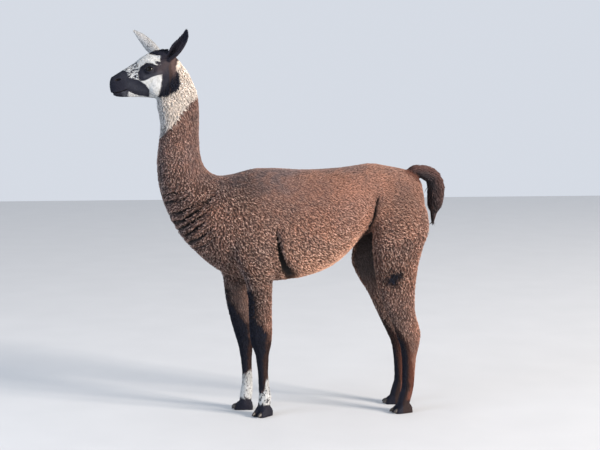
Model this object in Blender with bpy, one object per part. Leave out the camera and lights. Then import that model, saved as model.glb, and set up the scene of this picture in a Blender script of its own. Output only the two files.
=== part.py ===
"""A life-size standing llama, parted with thin cuts into the pieces that a person would name.

The animal faces -X with its left side towards -Y and its four soles flat on z = 0. The solids give
the outline of the coat, to the tips of the wool. Lengths are in metres and angles in degrees.

The body is lofted through named sections, from the poll to the buttock, with a loft for each leg and a
few swellings for muscle and bone. A voxel remesh joins these into one closed surface, which is smoothed,
thinned and then cut apart by planes. The ears, tail, nails and eyes are solids of their own.
"""

import math
from collections import namedtuple

import bmesh
import bpy
import numpy as np
from mathutils import Matrix, Vector

# Driving dimensions.
GAP = 0.0003  # between two pieces that meet
VOXEL = 0.0042  # of the remesh that joins the lofts
SURFACE_TRIANGLES = 4100  # of the joined surface, before it is parted
RING_POINTS = 28
STEPS_BETWEEN_SECTIONS = 5
SOLE_HEIGHT = 0.0  # the level of the four flats
EYE_RADIUS = 0.0205
TOE_OUT = {"front_left": 45, "front_right": 6, "hind_left": 20, "hind_right": 6}

# Colours of the coat, linear.
BROWN = (0.150, 0.085, 0.062)
DARK_BROWN = (0.050, 0.030, 0.026)
BLACK = (0.016, 0.014, 0.016)
CREAM = (0.560, 0.470, 0.380)
WHITE = (0.700, 0.690, 0.660)
HORN = (0.060, 0.050, 0.045)

# A cross-section by the two ends of its middle line, in the x-z plane, its half width across the body,
# where it lies across the body, and egg: above 0 it is wider towards the second end.
Section = namedtuple("Section", "start end half_width y egg square", defaults=(0.0, 0.0, 2.2))

# From the poll down the neck and along the back: the upper end is on the nape or back line, the lower
# end on the throat, chest or belly line.
TORSO = [
    Section((-0.700, 1.622), (-0.770, 1.452), 0.052),  # occiput
    Section((-0.642, 1.555), (-0.782, 1.408), 0.064),  # throat
    Section((-0.597, 1.455), (-0.771, 1.352), 0.071),  # upper neck
    Section((-0.588, 1.360), (-0.767, 1.296), 0.071),
    Section((-0.590, 1.262), (-0.775, 1.226), 0.074),  # middle of the neck
    Section((-0.583, 1.168), (-0.784, 1.140), 0.082),
    Section((-0.556, 1.113), (-0.777, 1.050), 0.094),  # lower neck
    Section((-0.507, 1.086), (-0.755, 0.965), 0.112),
    Section((-0.440, 1.092), (-0.712, 0.865), 0.134),  # neck base
    Section((-0.345, 1.116), (-0.634, 0.759), 0.156),  # withers and breast
    Section((-0.240, 1.118), (-0.490, 0.642), 0.163, egg=-0.05),  # shoulder
    Section((-0.130, 1.111), (-0.330, 0.604), 0.173, egg=0.02),  # heart girth
    Section((-0.040, 1.113), (-0.160, 0.613), 0.200, egg=0.06),  # barrel
    Section((0.050, 1.119), (-0.020, 0.655), 0.203, egg=0.06),
    Section((0.120, 1.128), (0.075, 0.722), 0.188, egg=0.02),  # loin
    Section((0.190, 1.137), (0.155, 0.800), 0.166),  # flank
    Section((0.270, 1.124), (0.250, 0.850), 0.160, egg=0.10),  # croup
    Section((0.340, 1.110), (0.340, 0.850), 0.150, egg=0.15),
    Section((0.397, 1.086), (0.420, 0.880), 0.105, egg=0.20),  # seat
    Section((0.424, 1.040), (0.436, 0.930), 0.050),
]

# From the nose back: the upper end is on the bridge of the nose and the skull, the lower on the jaw.
HEAD = [
    Section((-0.984, 1.503), (-0.986, 1.478), 0.012),  # tip of the nose
    Section((-0.979, 1.517), (-0.980, 1.459), 0.025, square=2.4),
    Section((-0.965, 1.529), (-0.964, 1.441), 0.0345, egg=0.05, square=2.5),  # nostrils
    Section((-0.940, 1.546), (-0.942, 1.435), 0.0390, egg=0.10, square=2.4),  # lips
    Section((-0.908, 1.565), (-0.906, 1.434), 0.0410, egg=0.08, square=2.3),
    Section((-0.874, 1.587), (-0.864, 1.434), 0.0480),  # below the eyes
    Section((-0.846, 1.610), (-0.828, 1.433), 0.0580, egg=-0.05),
    Section((-0.815, 1.627), (-0.790, 1.430), 0.0650, egg=-0.10),  # brow
    Section((-0.780, 1.637), (-0.755, 1.424), 0.0670, egg=-0.10),
    Section((-0.740, 1.639), (-0.725, 1.430), 0.0620, egg=-0.05),  # poll
    Section((-0.702, 1.612), (-0.700, 1.455), 0.0480),
]

# Levels of a leg: height, girth from front to back, half width, and distance from the middle plane.
Level = namedtuple("Level", "height depth half_width out")
FRONT_LEG = [
    Level(0.98, 0.150, 0.040, 0.080),  # shoulder blade
    Level(0.90, 0.215, 0.064, 0.094),
    Level(0.78, 0.215, 0.071, 0.103),  # upper arm
    Level(0.69, 0.180, 0.067, 0.101),  # elbow
    Level(0.61, 0.127, 0.055, 0.095),
    Level(0.51, 0.112, 0.046, 0.089),  # forearm
    Level(0.42, 0.109, 0.043, 0.085),
    Level(0.34, 0.096, 0.041, 0.082),  # knee
    Level(0.28, 0.063, 0.033, 0.080),
    Level(0.20, 0.048, 0.026, 0.078),  # cannon
    Level(0.13, 0.050, 0.026, 0.076),
    Level(0.09, 0.057, 0.030, 0.075),  # fetlock
    Level(0.05, 0.056, 0.031, 0.075),
    Level(0.02, 0.052, 0.029, 0.075),
]
HIND_LEG = [
    Level(1.02, 0.180, 0.048, 0.075),  # hip
    Level(0.93, 0.240, 0.072, 0.090),
    Level(0.84, 0.262, 0.082, 0.099),  # thigh
    Level(0.76, 0.238, 0.080, 0.102),
    Level(0.68, 0.209, 0.072, 0.102),  # stifle
    Level(0.60, 0.187, 0.062, 0.099),
    Level(0.53, 0.163, 0.053, 0.097),  # gaskin
    Level(0.46, 0.137, 0.044, 0.095),
    Level(0.40, 0.125, 0.039, 0.094),
    Level(0.35, 0.114, 0.037, 0.093),  # hock
    Level(0.30, 0.086, 0.033, 0.093),
    Level(0.25, 0.067, 0.028, 0.093),
    Level(0.18, 0.059, 0.026, 0.093),  # cannon
    Level(0.12, 0.055, 0.027, 0.093),
    Level(0.085, 0.057, 0.030, 0.093),  # fetlock
    Level(0.05, 0.056, 0.031, 0.093),
    Level(0.02, 0.052, 0.029, 0.093),
]
# How far along the body each level's middle lies, for each leg of the stance.
FRONT_LEFT_X = [-0.385, -0.380, -0.360, -0.345, -0.333, -0.328, -0.326, -0.323, -0.319, -0.315, -0.310]
FRONT_LEFT_X += [-0.306, -0.310, -0.313]
FRONT_RIGHT_X = [-0.405, -0.415, -0.418, -0.422, -0.420, -0.414, -0.395, -0.377, -0.377, -0.373, -0.371]
FRONT_RIGHT_X += [-0.374, -0.379, -0.382]
HIND_LEFT_X = [0.300, 0.310, 0.312, 0.297, 0.290, 0.291, 0.299, 0.315, 0.338, 0.352, 0.356, 0.354, 0.352]
HIND_LEFT_X += [0.349, 0.341, 0.331, 0.326]
HIND_RIGHT_X = [0.300, 0.300, 0.282, 0.250, 0.222, 0.243, 0.276, 0.296, 0.319, 0.339, 0.349, 0.351, 0.354]
HIND_RIGHT_X += [0.353, 0.346, 0.335, 0.330]
LEGS = {
    "front_left": (FRONT_LEG, FRONT_LEFT_X, -1),
    "front_right": (FRONT_LEG, FRONT_RIGHT_X, 1),
    "hind_left": (HIND_LEG, HIND_LEFT_X, -1),
    "hind_right": (HIND_LEG, HIND_RIGHT_X, 1),
}

# Swellings that the lofts leave out, as centre and radii. Each is made on both sides.
SWELLINGS = [
    ((-0.788, 0.027, 1.579), (0.058, 0.041, 0.027)),  # brow over the eye
    ((-0.821, 0.036, 1.529), (0.062, 0.026, 0.020)),  # cheekbone under the eye
    ((-0.768, 0.036, 1.500), (0.058, 0.031, 0.062)),  # muscle of the jaw
    ((-0.953, 0.016, 1.461), (0.024, 0.020, 0.019)),  # lips
    ((-0.962, 0.017, 1.512), (0.020, 0.016, 0.016)),  # rim of the nostril
    ((-0.742, 0.028, 1.612), (0.050, 0.034, 0.030)),  # base of the ear
    ((0.385, 0.070, 0.880), (0.060, 0.062, 0.100)),  # buttock
]
EYE_CENTRE = (-0.8085, 0.0492, 1.5560)

# A foot's toe, from the heel pad to the front: how far forward, height and half width.
TOE = [(-0.034, 0.019, 0.0090), (-0.024, 0.040, 0.0145), (0.006, 0.052, 0.0165), (0.030, 0.036, 0.0155)]
TOE += [(0.046, 0.023, 0.0125), (0.053, 0.013, 0.0070)]
TOE_SPACING = 0.0172  # from the middle of the foot to the middle of a toe
NAIL = [(0.036, 0.024, 0.0085), (0.050, 0.023, 0.0080), (0.060, 0.017, 0.0055), (0.067, 0.009, 0.0022)]
NAIL_FOOT = 0.0045  # the underside of a nail is this far over the floor

# The middle line of each ear from root to tip, with its half width, and the way it opens.
EAR_HALF_WIDTHS = [0.0165, 0.0230, 0.0272, 0.0252, 0.0185, 0.0065]
EAR_HALF_SPANS = [160, 142, 104, 80, 68, 60]
EAR_WALL = [0.0105, 0.0100, 0.0090, 0.0080, 0.0070, 0.0045]
EAR_POINTS = 7  # round each face of the ear
EARS = {
    "ear_left": (
        [(-0.727, -0.036, 1.596), (-0.704, -0.050, 1.621), (-0.685, -0.062, 1.647)]
        + [(-0.667, -0.073, 1.674), (-0.653, -0.080, 1.703), (-0.649, -0.080, 1.729)],
        (-0.50, -0.85, 0.15),
    ),
    "ear_right": (
        [(-0.748, 0.038, 1.606), (-0.771, 0.050, 1.635), (-0.796, 0.060, 1.661)]
        + [(-0.821, 0.068, 1.685), (-0.848, 0.074, 1.709), (-0.876, 0.076, 1.731)],
        (-0.20, 0.90, -0.35),
    ),
}

# The tail leaves the croup, arches over and hangs: middle line, with its half depth and half width.
TAIL = [
    ((0.345, 1.080), 0.020, 0.026),
    ((0.385, 1.091), 0.027, 0.032),
    ((0.430, 1.092), 0.030, 0.036),
    ((0.470, 1.074), 0.033, 0.039),
    ((0.490, 1.035), 0.036, 0.042),
    ((0.493, 0.990), 0.035, 0.042),
    ((0.490, 0.953), 0.031, 0.037),
    ((0.487, 0.922), 0.018, 0.022),
    ((0.482, 0.872), 0.005, 0.006),
]


def clear_scene():
    for obj in list(bpy.data.objects):
        bpy.data.objects.remove(obj)


def material(name, colour, roughness):
    made = bpy.data.materials.new(name)
    made.use_nodes = True
    shader = made.node_tree.nodes["Principled BSDF"]
    shader.inputs["Base Color"].default_value = (*colour, 1)
    shader.inputs["Roughness"].default_value = roughness
    shader.inputs["Metallic"].default_value = 0.0
    return made


def object_of(name, mesh_from, finish=None):
    """An object made from a bmesh, which is freed."""
    mesh = bpy.data.meshes.new(name)
    mesh_from.to_mesh(mesh)
    mesh_from.free()
    mesh.shade_smooth()
    mesh.set_sharp_from_angle(angle=math.radians(50))
    made = bpy.data.objects.new(name, mesh)
    bpy.context.scene.collection.objects.link(made)
    if finish:
        mesh.materials.append(finish)
    return made


def flow(rows, steps=STEPS_BETWEEN_SECTIONS):
    """Rows of numbers, with smooth rows put between them by a Catmull-Rom curve."""
    rows = np.array(rows, float)
    padded = np.vstack([2 * rows[0] - rows[1], rows, 2 * rows[-1] - rows[-2]])
    found = []
    for before, start, end, after in zip(padded, padded[1:], padded[2:], padded[3:]):
        for t in np.arange(steps) / steps:
            slope_in = (end - before) / 2
            slope_out = (after - start) / 2
            rise = t * t * (3 - 2 * t)
            found.append(
                start * (1 - rise)
                + end * rise
                + slope_in * (t**3 - 2 * t * t + t)
                + slope_out * (t**3 - t * t)
            )
    found.append(rows[-1])
    return found


def skin_over(bm, rings):
    """Adds a closed tube through rings of equally many points, with a flat cap on each end."""
    made = [[bm.verts.new(point) for point in ring] for ring in rings]
    for first, second in zip(made, made[1:]):
        for i, corner in enumerate(first):
            j = (i + 1) % len(first)
            bm.faces.new((corner, first[j], second[j], second[i]))
    bm.faces.new(reversed(made[0]))
    bm.faces.new(made[-1])


def signed_power(value, power):
    return math.copysign(abs(value) ** power, value)


def ring_of(section):
    """The points round a section: a superellipse that egg widens towards its second end."""
    start, end = np.array(section.start), np.array(section.end)
    middle, reach = (start + end) / 2, (start - end) / 2
    points = []
    for i in range(RING_POINTS):
        turn = 2 * math.pi * i / RING_POINTS
        along = signed_power(math.cos(turn), 2 / section.square)
        across = signed_power(math.sin(turn), 2 / section.square)
        across *= section.half_width * (1 - section.egg * along)
        x, z = middle + reach * along
        points.append((x, section.y + across, z))
    return points


def loft(bm, sections):
    rows = [(*s.start, *s.end, s.half_width, s.y, s.egg, s.square) for s in sections]
    skin_over(bm, [ring_of(Section(row[:2], row[2:4], *row[4:])) for row in flow(rows)])


def leg_sections(levels, middles, side):
    """Level sections of a leg, whose middle line runs from its front to its back."""
    return [
        Section(
            (x - level.depth / 2, level.height),
            (x + level.depth / 2, level.height),
            level.half_width,
            side * level.out,
        )
        for level, x in zip(levels, middles)
    ]


def add_swelling(bm, centre, radii):
    bmesh.ops.create_uvsphere(
        bm,
        u_segments=24,
        v_segments=14,
        radius=1,
        matrix=Matrix.Translation(centre) @ Matrix.Diagonal((*radii, 1)),
    )


def foot_frame(leg):
    """Where a foot stands, and the matrix that turns its toes, which point along -X, outwards."""
    levels, middles, side = LEGS[leg]
    ankle = Vector((middles[-2], side * levels[-2].out, SOLE_HEIGHT))
    turn = Matrix.Rotation(math.radians(-side * TOE_OUT[leg]), 4, "Z")
    return Matrix.Translation(ankle) @ turn


def digit_rings(profile, across, underside):
    """Upright rings along a toe or nail, flat below."""
    return [
        ring_of(Section((-ahead, height), (-ahead, underside), half_width, across, 0.25, 2.8))
        for ahead, height, half_width in flow(profile, 3)
    ]


def add_toes(bm, leg):
    """The two toes of a foot, reaching a little under the floor, where they are cut flat."""
    frame = foot_frame(leg)
    for across in (-TOE_SPACING, TOE_SPACING):
        rings = digit_rings(TOE, across, SOLE_HEIGHT - 0.006)
        skin_over(bm, [[frame @ Vector(point) for point in ring] for ring in rings])


def joined_shapes():
    """Every loft and swelling of the flesh, still overlapping, as one object."""
    bm = bmesh.new()
    loft(bm, TORSO)
    loft(bm, HEAD)
    for leg, (levels, middles, side) in LEGS.items():
        loft(bm, leg_sections(levels, middles, side))
        add_toes(bm, leg)
    for (x, y, z), radii in SWELLINGS:
        add_swelling(bm, (x, y, z), radii)
        add_swelling(bm, (x, -y, z), radii)
    bmesh.ops.recalc_face_normals(bm, faces=bm.faces)
    return object_of("flesh", bm)


def apply_modifiers(obj):
    """Replaces an object's mesh with the evaluated one."""
    graph = bpy.context.evaluated_depsgraph_get()
    mesh = bpy.data.meshes.new_from_object(obj.evaluated_get(graph))
    obj.modifiers.clear()
    obj.data = mesh


def weigh(obj, name, rule):
    """Gives the object a vertex group whose weight at each vertex is rule(place)."""
    group = obj.vertex_groups.new(name=name)
    for vertex in obj.data.vertices:
        group.add([vertex.index], rule(vertex.co), "REPLACE")
    return name


def in_head(place):
    return place.x < -0.68 and place.z > 1.40


def softness(place):
    """How much a place is smoothed: the trunk fully, the face and feet least."""
    if in_head(place):
        return 0.42
    return min(1.0, max(0.06, (place.z - 0.06) / 0.45))


def thinness(place):
    """How readily a place is thinned: the face least, then the feet and the legs."""
    if in_head(place):
        return 0.05
    if place.z < 0.10:
        return 0.50
    return min(1.0, 0.75 + place.z / 3)


def one_surface():
    """The flesh as one closed, smooth and light surface."""
    obj = joined_shapes()
    remesh = obj.modifiers.new("join", "REMESH")
    remesh.mode = "VOXEL"
    remesh.voxel_size = VOXEL
    apply_modifiers(obj)
    smooth = obj.modifiers.new("soften", "SMOOTH")
    smooth.factor = 0.6
    smooth.iterations = 30
    smooth.vertex_group = weigh(obj, "soft", softness)
    apply_modifiers(obj)
    thin = obj.modifiers.new("thin", "DECIMATE")
    thin.ratio = SURFACE_TRIANGLES / sum(len(p.vertices) - 2 for p in obj.data.polygons)
    thin.vertex_group = weigh(obj, "thin", thinness)
    thin.vertex_group_factor = 0.01
    apply_modifiers(obj)
    bm = bmesh.new()
    bm.from_mesh(obj.data)
    bpy.data.objects.remove(obj)
    return bm


def kept_side(bm, point, normal):
    """A copy of the mesh, cut by a plane and closed, with what lies along the normal removed."""
    kept = bm.copy()
    geometry = kept.verts[:] + kept.edges[:] + kept.faces[:]
    bmesh.ops.bisect_plane(
        kept, geom=geometry, dist=1e-6, plane_co=point, plane_no=normal, clear_outer=True
    )
    rim = [edge for edge in kept.edges if edge.is_boundary]
    bmesh.ops.triangle_fill(kept, use_beauty=True, edges=rim, normal=normal)
    bmesh.ops.recalc_face_normals(kept, faces=kept.faces)
    return kept


def parted(bm, point, normal):
    """The mesh in two closed pieces with a gap between them: behind the plane, and ahead of it."""
    point, normal = Vector(point), Vector(normal).normalized()
    behind = kept_side(bm, point - normal * GAP / 2, normal)
    ahead = kept_side(bm, point + normal * GAP / 2, -normal)
    bm.free()
    return behind, ahead


def across(start, end):
    """The point and normal of a plane square to the x-z plane through two of its points, seen from -Y.
    The normal is to the right of the way from start to end."""
    (x1, z1), (x2, z2) = start, end
    return (x1, 0, z1), (z2 - z1, 0, x1 - x2)


def part_surface(body):
    """The named pieces of flesh, each a closed bmesh, cut one after another from the whole."""
    pieces = {}
    front, body = parted(body, *across((-0.740, 0.840), (-0.470, 1.110)))
    pieces["head"], neck = parted(front, *across((-0.805, 1.385), (-0.655, 1.600)))
    pieces["neck_upper"], pieces["neck_lower"] = parted(neck, (0, 0, 1.27), (0.15, 0, -1))
    chest, body = parted(body, *across((-0.222, 0.50), (-0.222, 1.20)))
    pieces["barrel"], hind = parted(body, *across((0.040, 0.60), (0.205, 1.20)))
    fronts, pieces["chest"] = parted(chest, (0, 0, 0.592), (0, 0, 1))
    hinds, pieces["rump"] = parted(hind, (0.070, 0, 0.695), (-0.46, 0, 1))
    for place, both, knee, ankle in (("front", fronts, 0.385, 0.118), ("hind", hinds, 0.43, 0.118)):
        for side, leg in zip(("left", "right"), parted(both, (0, 0, 0), (0, 1, 0))):
            name = f"{place}_{side}"
            leg, pieces[f"{name}_upper_leg"] = parted(leg, (0, 0, knee), (0, 0, 1))
            foot, lower = parted(leg, (0, 0, ankle), (0, 0, 1))
            pieces[f"{name}_foot"], pieces[f"{name}_lower_leg"] = foot, lower
    return pieces


def swollen(body):
    """A hidden copy of the whole surface, larger by two gaps all round, to cut what stands on it with."""
    bm = body.copy()
    bm.normal_update()
    for vertex in bm.verts:
        vertex.co += vertex.normal * 2 * GAP
    cutter = object_of("flesh_cutter", bm)
    cutter.hide_render = True
    cutter.display_type = "WIRE"
    return cutter


def cut_by(obj, cutter):
    """Takes the cutter's volume from the object, which keeps the rest."""
    cut = obj.modifiers.new(f"less_{cutter.name}", "BOOLEAN")
    cut.operation = "DIFFERENCE"
    cut.object = cutter


def ear(name, finish):
    """A cupped blade: crescent sections, closed round at the root and open towards the tip."""
    line, opening = EARS[name]
    rows = [
        (*place, width, span, wall)
        for place, width, span, wall in zip(line, EAR_HALF_WIDTHS, EAR_HALF_SPANS, EAR_WALL)
    ]
    rows = flow(rows, 2)
    places = [Vector(row[:3]) for row in rows]
    rings = []
    for i, (*_, width, span, wall) in enumerate(rows):
        axis = (places[min(i + 1, len(rows) - 1)] - places[max(i - 1, 0)]).normalized()
        ahead = (Vector(opening) - axis * axis.dot(Vector(opening))).normalized()
        sideways = axis.cross(ahead)
        span = math.radians(span)
        radius = width / max(math.sin(min(span, math.pi / 2)), 0.1)
        spread = [span * (2 * k / (EAR_POINTS - 1) - 1) for k in range(EAR_POINTS)]
        outer = [places[i] + (sideways * math.sin(a) - ahead * math.cos(a)) * radius for a in spread]
        inner_radius = radius - wall
        inner = [
            places[i] + (sideways * math.sin(a) - ahead * math.cos(a)) * inner_radius
            for a in reversed(spread)
        ]
        rings.append([point + ahead * radius * 0.5 for point in outer + inner])
    bm = bmesh.new()
    skin_over(bm, rings)
    bmesh.ops.recalc_face_normals(bm, faces=bm.faces)
    return object_of(name, bm, finish)


def tail(finish):
    """A round tail whose sections stay square to its middle line."""
    rows = flow([(*place, depth, width) for place, depth, width in TAIL], 2)
    rings = []
    for i, (x, z, depth, width) in enumerate(rows):
        before, after = rows[max(i - 1, 0)], rows[min(i + 1, len(rows) - 1)]
        way = Vector((after[0] - before[0], after[1] - before[1])).normalized()
        start = (x - way.y * depth, z + way.x * depth)
        end = (x + way.y * depth, z - way.x * depth)
        rings.append(ring_of(Section(start, end, width, square=2.0))[::3])
    bm = bmesh.new()
    skin_over(bm, rings)
    bmesh.ops.recalc_face_normals(bm, faces=bm.faces)
    return object_of("tail", bm, finish)


def nail(name, leg, across_foot, finish):
    """A blunt claw on the front of a toe, clear of the floor."""
    frame = foot_frame(leg)
    rings = digit_rings(NAIL, across_foot, NAIL_FOOT)[::2]
    bm = bmesh.new()
    skin_over(bm, [[frame @ Vector(point) for point in ring[::3]] for ring in rings])
    bmesh.ops.recalc_face_normals(bm, faces=bm.faces)
    return object_of(name, bm, finish)


def eye(name, side, radius, finish=None):
    bm = bmesh.new()
    x, y, z = EYE_CENTRE
    bmesh.ops.create_uvsphere(
        bm, u_segments=14, v_segments=9, radius=radius, matrix=Matrix.Translation((x, side * y, z))
    )
    return object_of(name, bm, finish)


def finish_for(name, finishes):
    """The finish of a piece of flesh by its name."""
    if name in ("head", "neck_upper"):
        return finishes["white" if name == "head" else "cream"]
    if name.endswith("_foot"):
        return finishes["black"]
    return finishes["dark"] if name.endswith("_lower_leg") else finishes["brown"]


def centre_all():
    """Moves everything so that the origin is under the middle of the animal's bounding box."""
    shown = [obj for obj in bpy.data.objects if not obj.hide_render]
    places = [vertex.co for obj in shown for vertex in obj.data.vertices]
    x, y = [(min(p[i] for p in places) + max(p[i] for p in places)) / 2 for i in (0, 1)]
    for obj in bpy.data.objects:
        obj.location = (-x, -y, 0)


def build():
    clear_scene()
    finishes = {
        "brown": material("brown_wool", BROWN, 0.95),
        "dark": material("dark_hair", DARK_BROWN, 0.85),
        "black": material("black_hair", BLACK, 0.8),
        "cream": material("cream_wool", CREAM, 0.95),
        "white": material("white_hair", WHITE, 0.85),
        "horn": material("nail_horn", HORN, 0.45),
        "eye": material("eye", (0.01, 0.008, 0.006), 0.05),
    }
    body = kept_side(one_surface(), Vector((0, 0, SOLE_HEIGHT)), Vector((0, 0, -1)))
    cutter = swollen(body)
    flesh = {n: object_of(n, bm, finish_for(n, finishes)) for n, bm in part_surface(body).items()}
    for name, side in (("eye_left", -1), ("eye_right", 1)):
        eye(name, side, EYE_RADIUS, finishes["eye"])
        socket = eye(f"{name}_socket", side, EYE_RADIUS + 2 * GAP)
        socket.hide_render = True
        socket.display_type = "WIRE"
        cut_by(flesh["head"], socket)
    cut_by(ear("ear_left", finishes["black"]), cutter)
    cut_by(ear("ear_right", finishes["white"]), cutter)
    cut_by(tail(finishes["brown"]), cutter)
    for leg in LEGS:
        for side, across_foot in (("inner", TOE_SPACING), ("outer", -TOE_SPACING)):
            if leg.endswith("right"):
                across_foot = -across_foot
            cut_by(nail(f"{leg}_{side}_nail", leg, across_foot, finishes["horn"]), cutter)
    centre_all()


build()
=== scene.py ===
"""The looks of a standing llama: one skin under a coat of solid tufts, with eyes, lashes and nails.

Lengths are in metres. Markings, folds and the features of the face are named in the animal's own
coordinates, in which its left eye is at EYE, and on_animal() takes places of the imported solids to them.
The animal faces -X and its left side is towards -Y. Outlines of markings and lines of folds lie in the
x-z plane and hold for both sides of the body.
"""

import math
from collections import namedtuple

import bmesh
import bpy
import numpy as np
from mathutils.bvhtree import BVHTree
from mathutils.kdtree import KDTree
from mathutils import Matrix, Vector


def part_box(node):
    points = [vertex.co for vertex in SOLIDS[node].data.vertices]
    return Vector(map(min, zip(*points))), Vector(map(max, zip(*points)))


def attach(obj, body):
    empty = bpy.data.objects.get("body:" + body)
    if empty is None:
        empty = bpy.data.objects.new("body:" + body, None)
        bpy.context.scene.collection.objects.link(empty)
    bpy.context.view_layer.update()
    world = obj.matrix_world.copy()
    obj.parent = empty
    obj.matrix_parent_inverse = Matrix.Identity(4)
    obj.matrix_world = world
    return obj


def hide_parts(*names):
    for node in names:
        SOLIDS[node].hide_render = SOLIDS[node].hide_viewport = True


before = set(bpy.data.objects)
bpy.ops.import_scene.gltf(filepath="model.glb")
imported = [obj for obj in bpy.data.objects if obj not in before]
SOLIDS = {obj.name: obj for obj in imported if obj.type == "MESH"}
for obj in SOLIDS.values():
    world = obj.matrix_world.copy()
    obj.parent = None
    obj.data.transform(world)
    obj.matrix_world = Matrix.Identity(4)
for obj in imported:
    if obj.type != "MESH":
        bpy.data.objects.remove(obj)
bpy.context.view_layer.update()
RANDOM = np.random.default_rng(11)

# The skin's mesh.
SEAM = 0.0003  # each solid is swollen by this, so that the thin cuts between them close
VOXEL = 0.0030  # of the remesh that joins the solids
SMOOTHING_ROUNDS = 22
SMOOTHING = (0.75, 0.66)  # how far each round moves places in and out again
FINE_SMOOTHING = (0.50, 0.53)  # the same on the head, ears, feet and tail
SHARE_BLEND, DEPTH_BLEND, NORMAL_BLEND = (0.5, 12), (0.6, 45), (0.5, 4)  # shares and rounds of evening
SKIN_TRIANGLES = 120_000  # before the face is refined
THINNING = (0.05, 0.4, 0.9)  # how readily the mesh is thinned at the head and ears, the feet and the rest
FACE_EDGE, NOSTRIL_EDGE = 0.0013, 0.0015  # longest edges at the eyes and mouth, and at the nostrils
MAP_NAME = "OFBake"
PATCH = 0.003  # side of a tuft's patch on its coat's map

# The eye, in the animal's own coordinates.
EYE = np.array([-0.8085, -0.0492, 1.5560])
EYE_RADIUS = 0.0205
CORNEA = 0.035  # how much the cornea swells, as a share of the radius
SLIT_HALF_LENGTH = 0.0172
SLIT_HALF_HEIGHT = 0.0100
LID_REACH = 0.014  # how far round the slit the lids are shaped
# The lids by the distance outside the slit: how their edge rises and where, and where they end. A ridge or
# a crease has its distance, its width and its height.
LID_SUNK, LID_RISE, LID_EDGE, LID_END = 0.0028, 0.0046, (-0.0010, 0.0012), (0.0045, 0.0120)
LID_CREASE, LID_SWELLING = (0.0062, 0.0013, 0.0012), (0.0038, 0.0022, 0.0010)

LEGS = ("front_left", "front_right", "hind_left", "hind_right")
LEG_PARTS = ("upper_leg", "lower_leg", "foot")
PARTS = ["head", "ear_left", "ear_right", "neck_upper", "neck_lower", "chest", "barrel", "rump", "tail"]
PARTS += [f"{leg}_{part}" for leg in LEGS for part in LEG_PARTS]
NAILS = [f"{leg}_{side}_nail" for leg in LEGS for side in ("inner", "outer")]

# Depth of the coat over the skin. The legs' depth runs from the knee to the body.
COAT_DEPTH = {"head": 0.0014, "ear_left": 0.0011, "ear_right": 0.0011, "neck_upper": 0.0085}
COAT_DEPTH |= {"neck_lower": 0.0100, "chest": 0.0110, "barrel": 0.0105, "rump": 0.0110, "tail": 0.0}
LEG_COAT = [(0.04, 0.0012), (0.12, 0.0020), (0.26, 0.0034), (0.42, 0.0075), (0.60, 0.0100)]  # by height
SMOOTH_DEPTH = 0.50  # depth of smooth hair as a share of that of curly wool
INNER_DEPTH = 0.40  # depth of the coat on the inner sides of the legs as a share of the rest
TAIL_SKIN = 0.90  # radius of the tail's skin as a share of the whole tail's
TAIL_LINE = [(0.330, 1.070), (0.385, 1.091), (0.430, 1.092), (0.470, 1.074), (0.490, 1.035)]
TAIL_LINE += [(0.493, 0.990), (0.490, 0.953), (0.487, 0.922), (0.482, 0.872)]
EAR_LINES = {
    "ear_left": ((-0.727, -0.036, 1.596), (-0.649, -0.080, 1.729)),
    "ear_right": ((-0.748, 0.038, 1.606), (-0.876, 0.076, 1.731)),
}

# Where something begins or ends is given by a ramp: the two places between which it changes.

# How curly the coat is, from smooth, 0, to woolly, 1. The belly's curl is added to the back's.
CHEST_CURL, BACK_CURL, BELLY_CURL = 1.12, 0.28, 0.57
THROAT_CURL, TAIL_CURL, LEAST_CURL = 0.55, 0.30, 0.10
CURL_BARREL_X = (-0.50, -0.28)
CURL_BACK_Z = (0.76, 1.02)
THROAT_Z = 1.30
LEG_CURL = {"front": (0.35, 0.47), "hind": (0.18, 0.42)}
SMOOTHER = [  # how much smoother, its ramps along x and z, and where along x it stops
    (0.45, (-0.58, -0.46), (0.96, 1.06), 1.00),  # withers and back
    (0.70, (-0.70, -0.62), (1.02, 1.12), -0.40),  # nape
]

# The inner sides of the legs: how much they face the middle, and their ramps along z.
INNER_FACING = (0.10, 0.50)
INNER_FRONT_TOP = (0.60, 0.66)
INNER_HIND_Z, INNER_HIND_TOP = (0.48, 0.64), (0.84, 0.90)
INNER_HIND_X = 0.34

# Markings of the head, as outlines.
MUZZLE = [(-1.00, 1.568), (-0.938, 1.559), (-0.909, 1.545), (-0.901, 1.519), (-0.858, 1.509)]
MUZZLE += [(-0.827, 1.488), (-0.811, 1.465), (-0.814, 1.436), (-0.876, 1.447), (-0.903, 1.461)]
MUZZLE += [(-0.909, 1.430), (-1.00, 1.410)]
EYE_PATCH = [(-0.859, 1.514), (-0.862, 1.541), (-0.851, 1.565), (-0.827, 1.584), (-0.800, 1.582)]
EYE_PATCH += [(-0.781, 1.573), (-0.765, 1.576), (-0.745, 1.590), (-0.730, 1.590), (-0.730, 1.536)]
EYE_PATCH += [(-0.757, 1.534), (-0.774, 1.530), (-0.805, 1.521), (-0.827, 1.508), (-0.849, 1.505)]
EAR_BAND = [(-0.760, 1.660), (-0.694, 1.660), (-0.683, 1.599), (-0.693, 1.568), (-0.694, 1.541)]
EAR_BAND += [(-0.686, 1.514), (-0.690, 1.479), (-0.716, 1.452), (-0.738, 1.440), (-0.773, 1.437)]
EAR_BAND += [(-0.763, 1.470), (-0.756, 1.505), (-0.754, 1.541), (-0.752, 1.568), (-0.762, 1.603)]
BAND_FRONT = [(-0.762, 1.648), (-0.706, 1.655), (-0.712, 1.606), (-0.727, 1.565), (-0.724, 1.500)]
BAND_FRONT += [(-0.722, 1.446), (-0.775, 1.436), (-0.765, 1.470), (-0.758, 1.505), (-0.757, 1.560)]
BAND_FRONT += [(-0.765, 1.596)]
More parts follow.
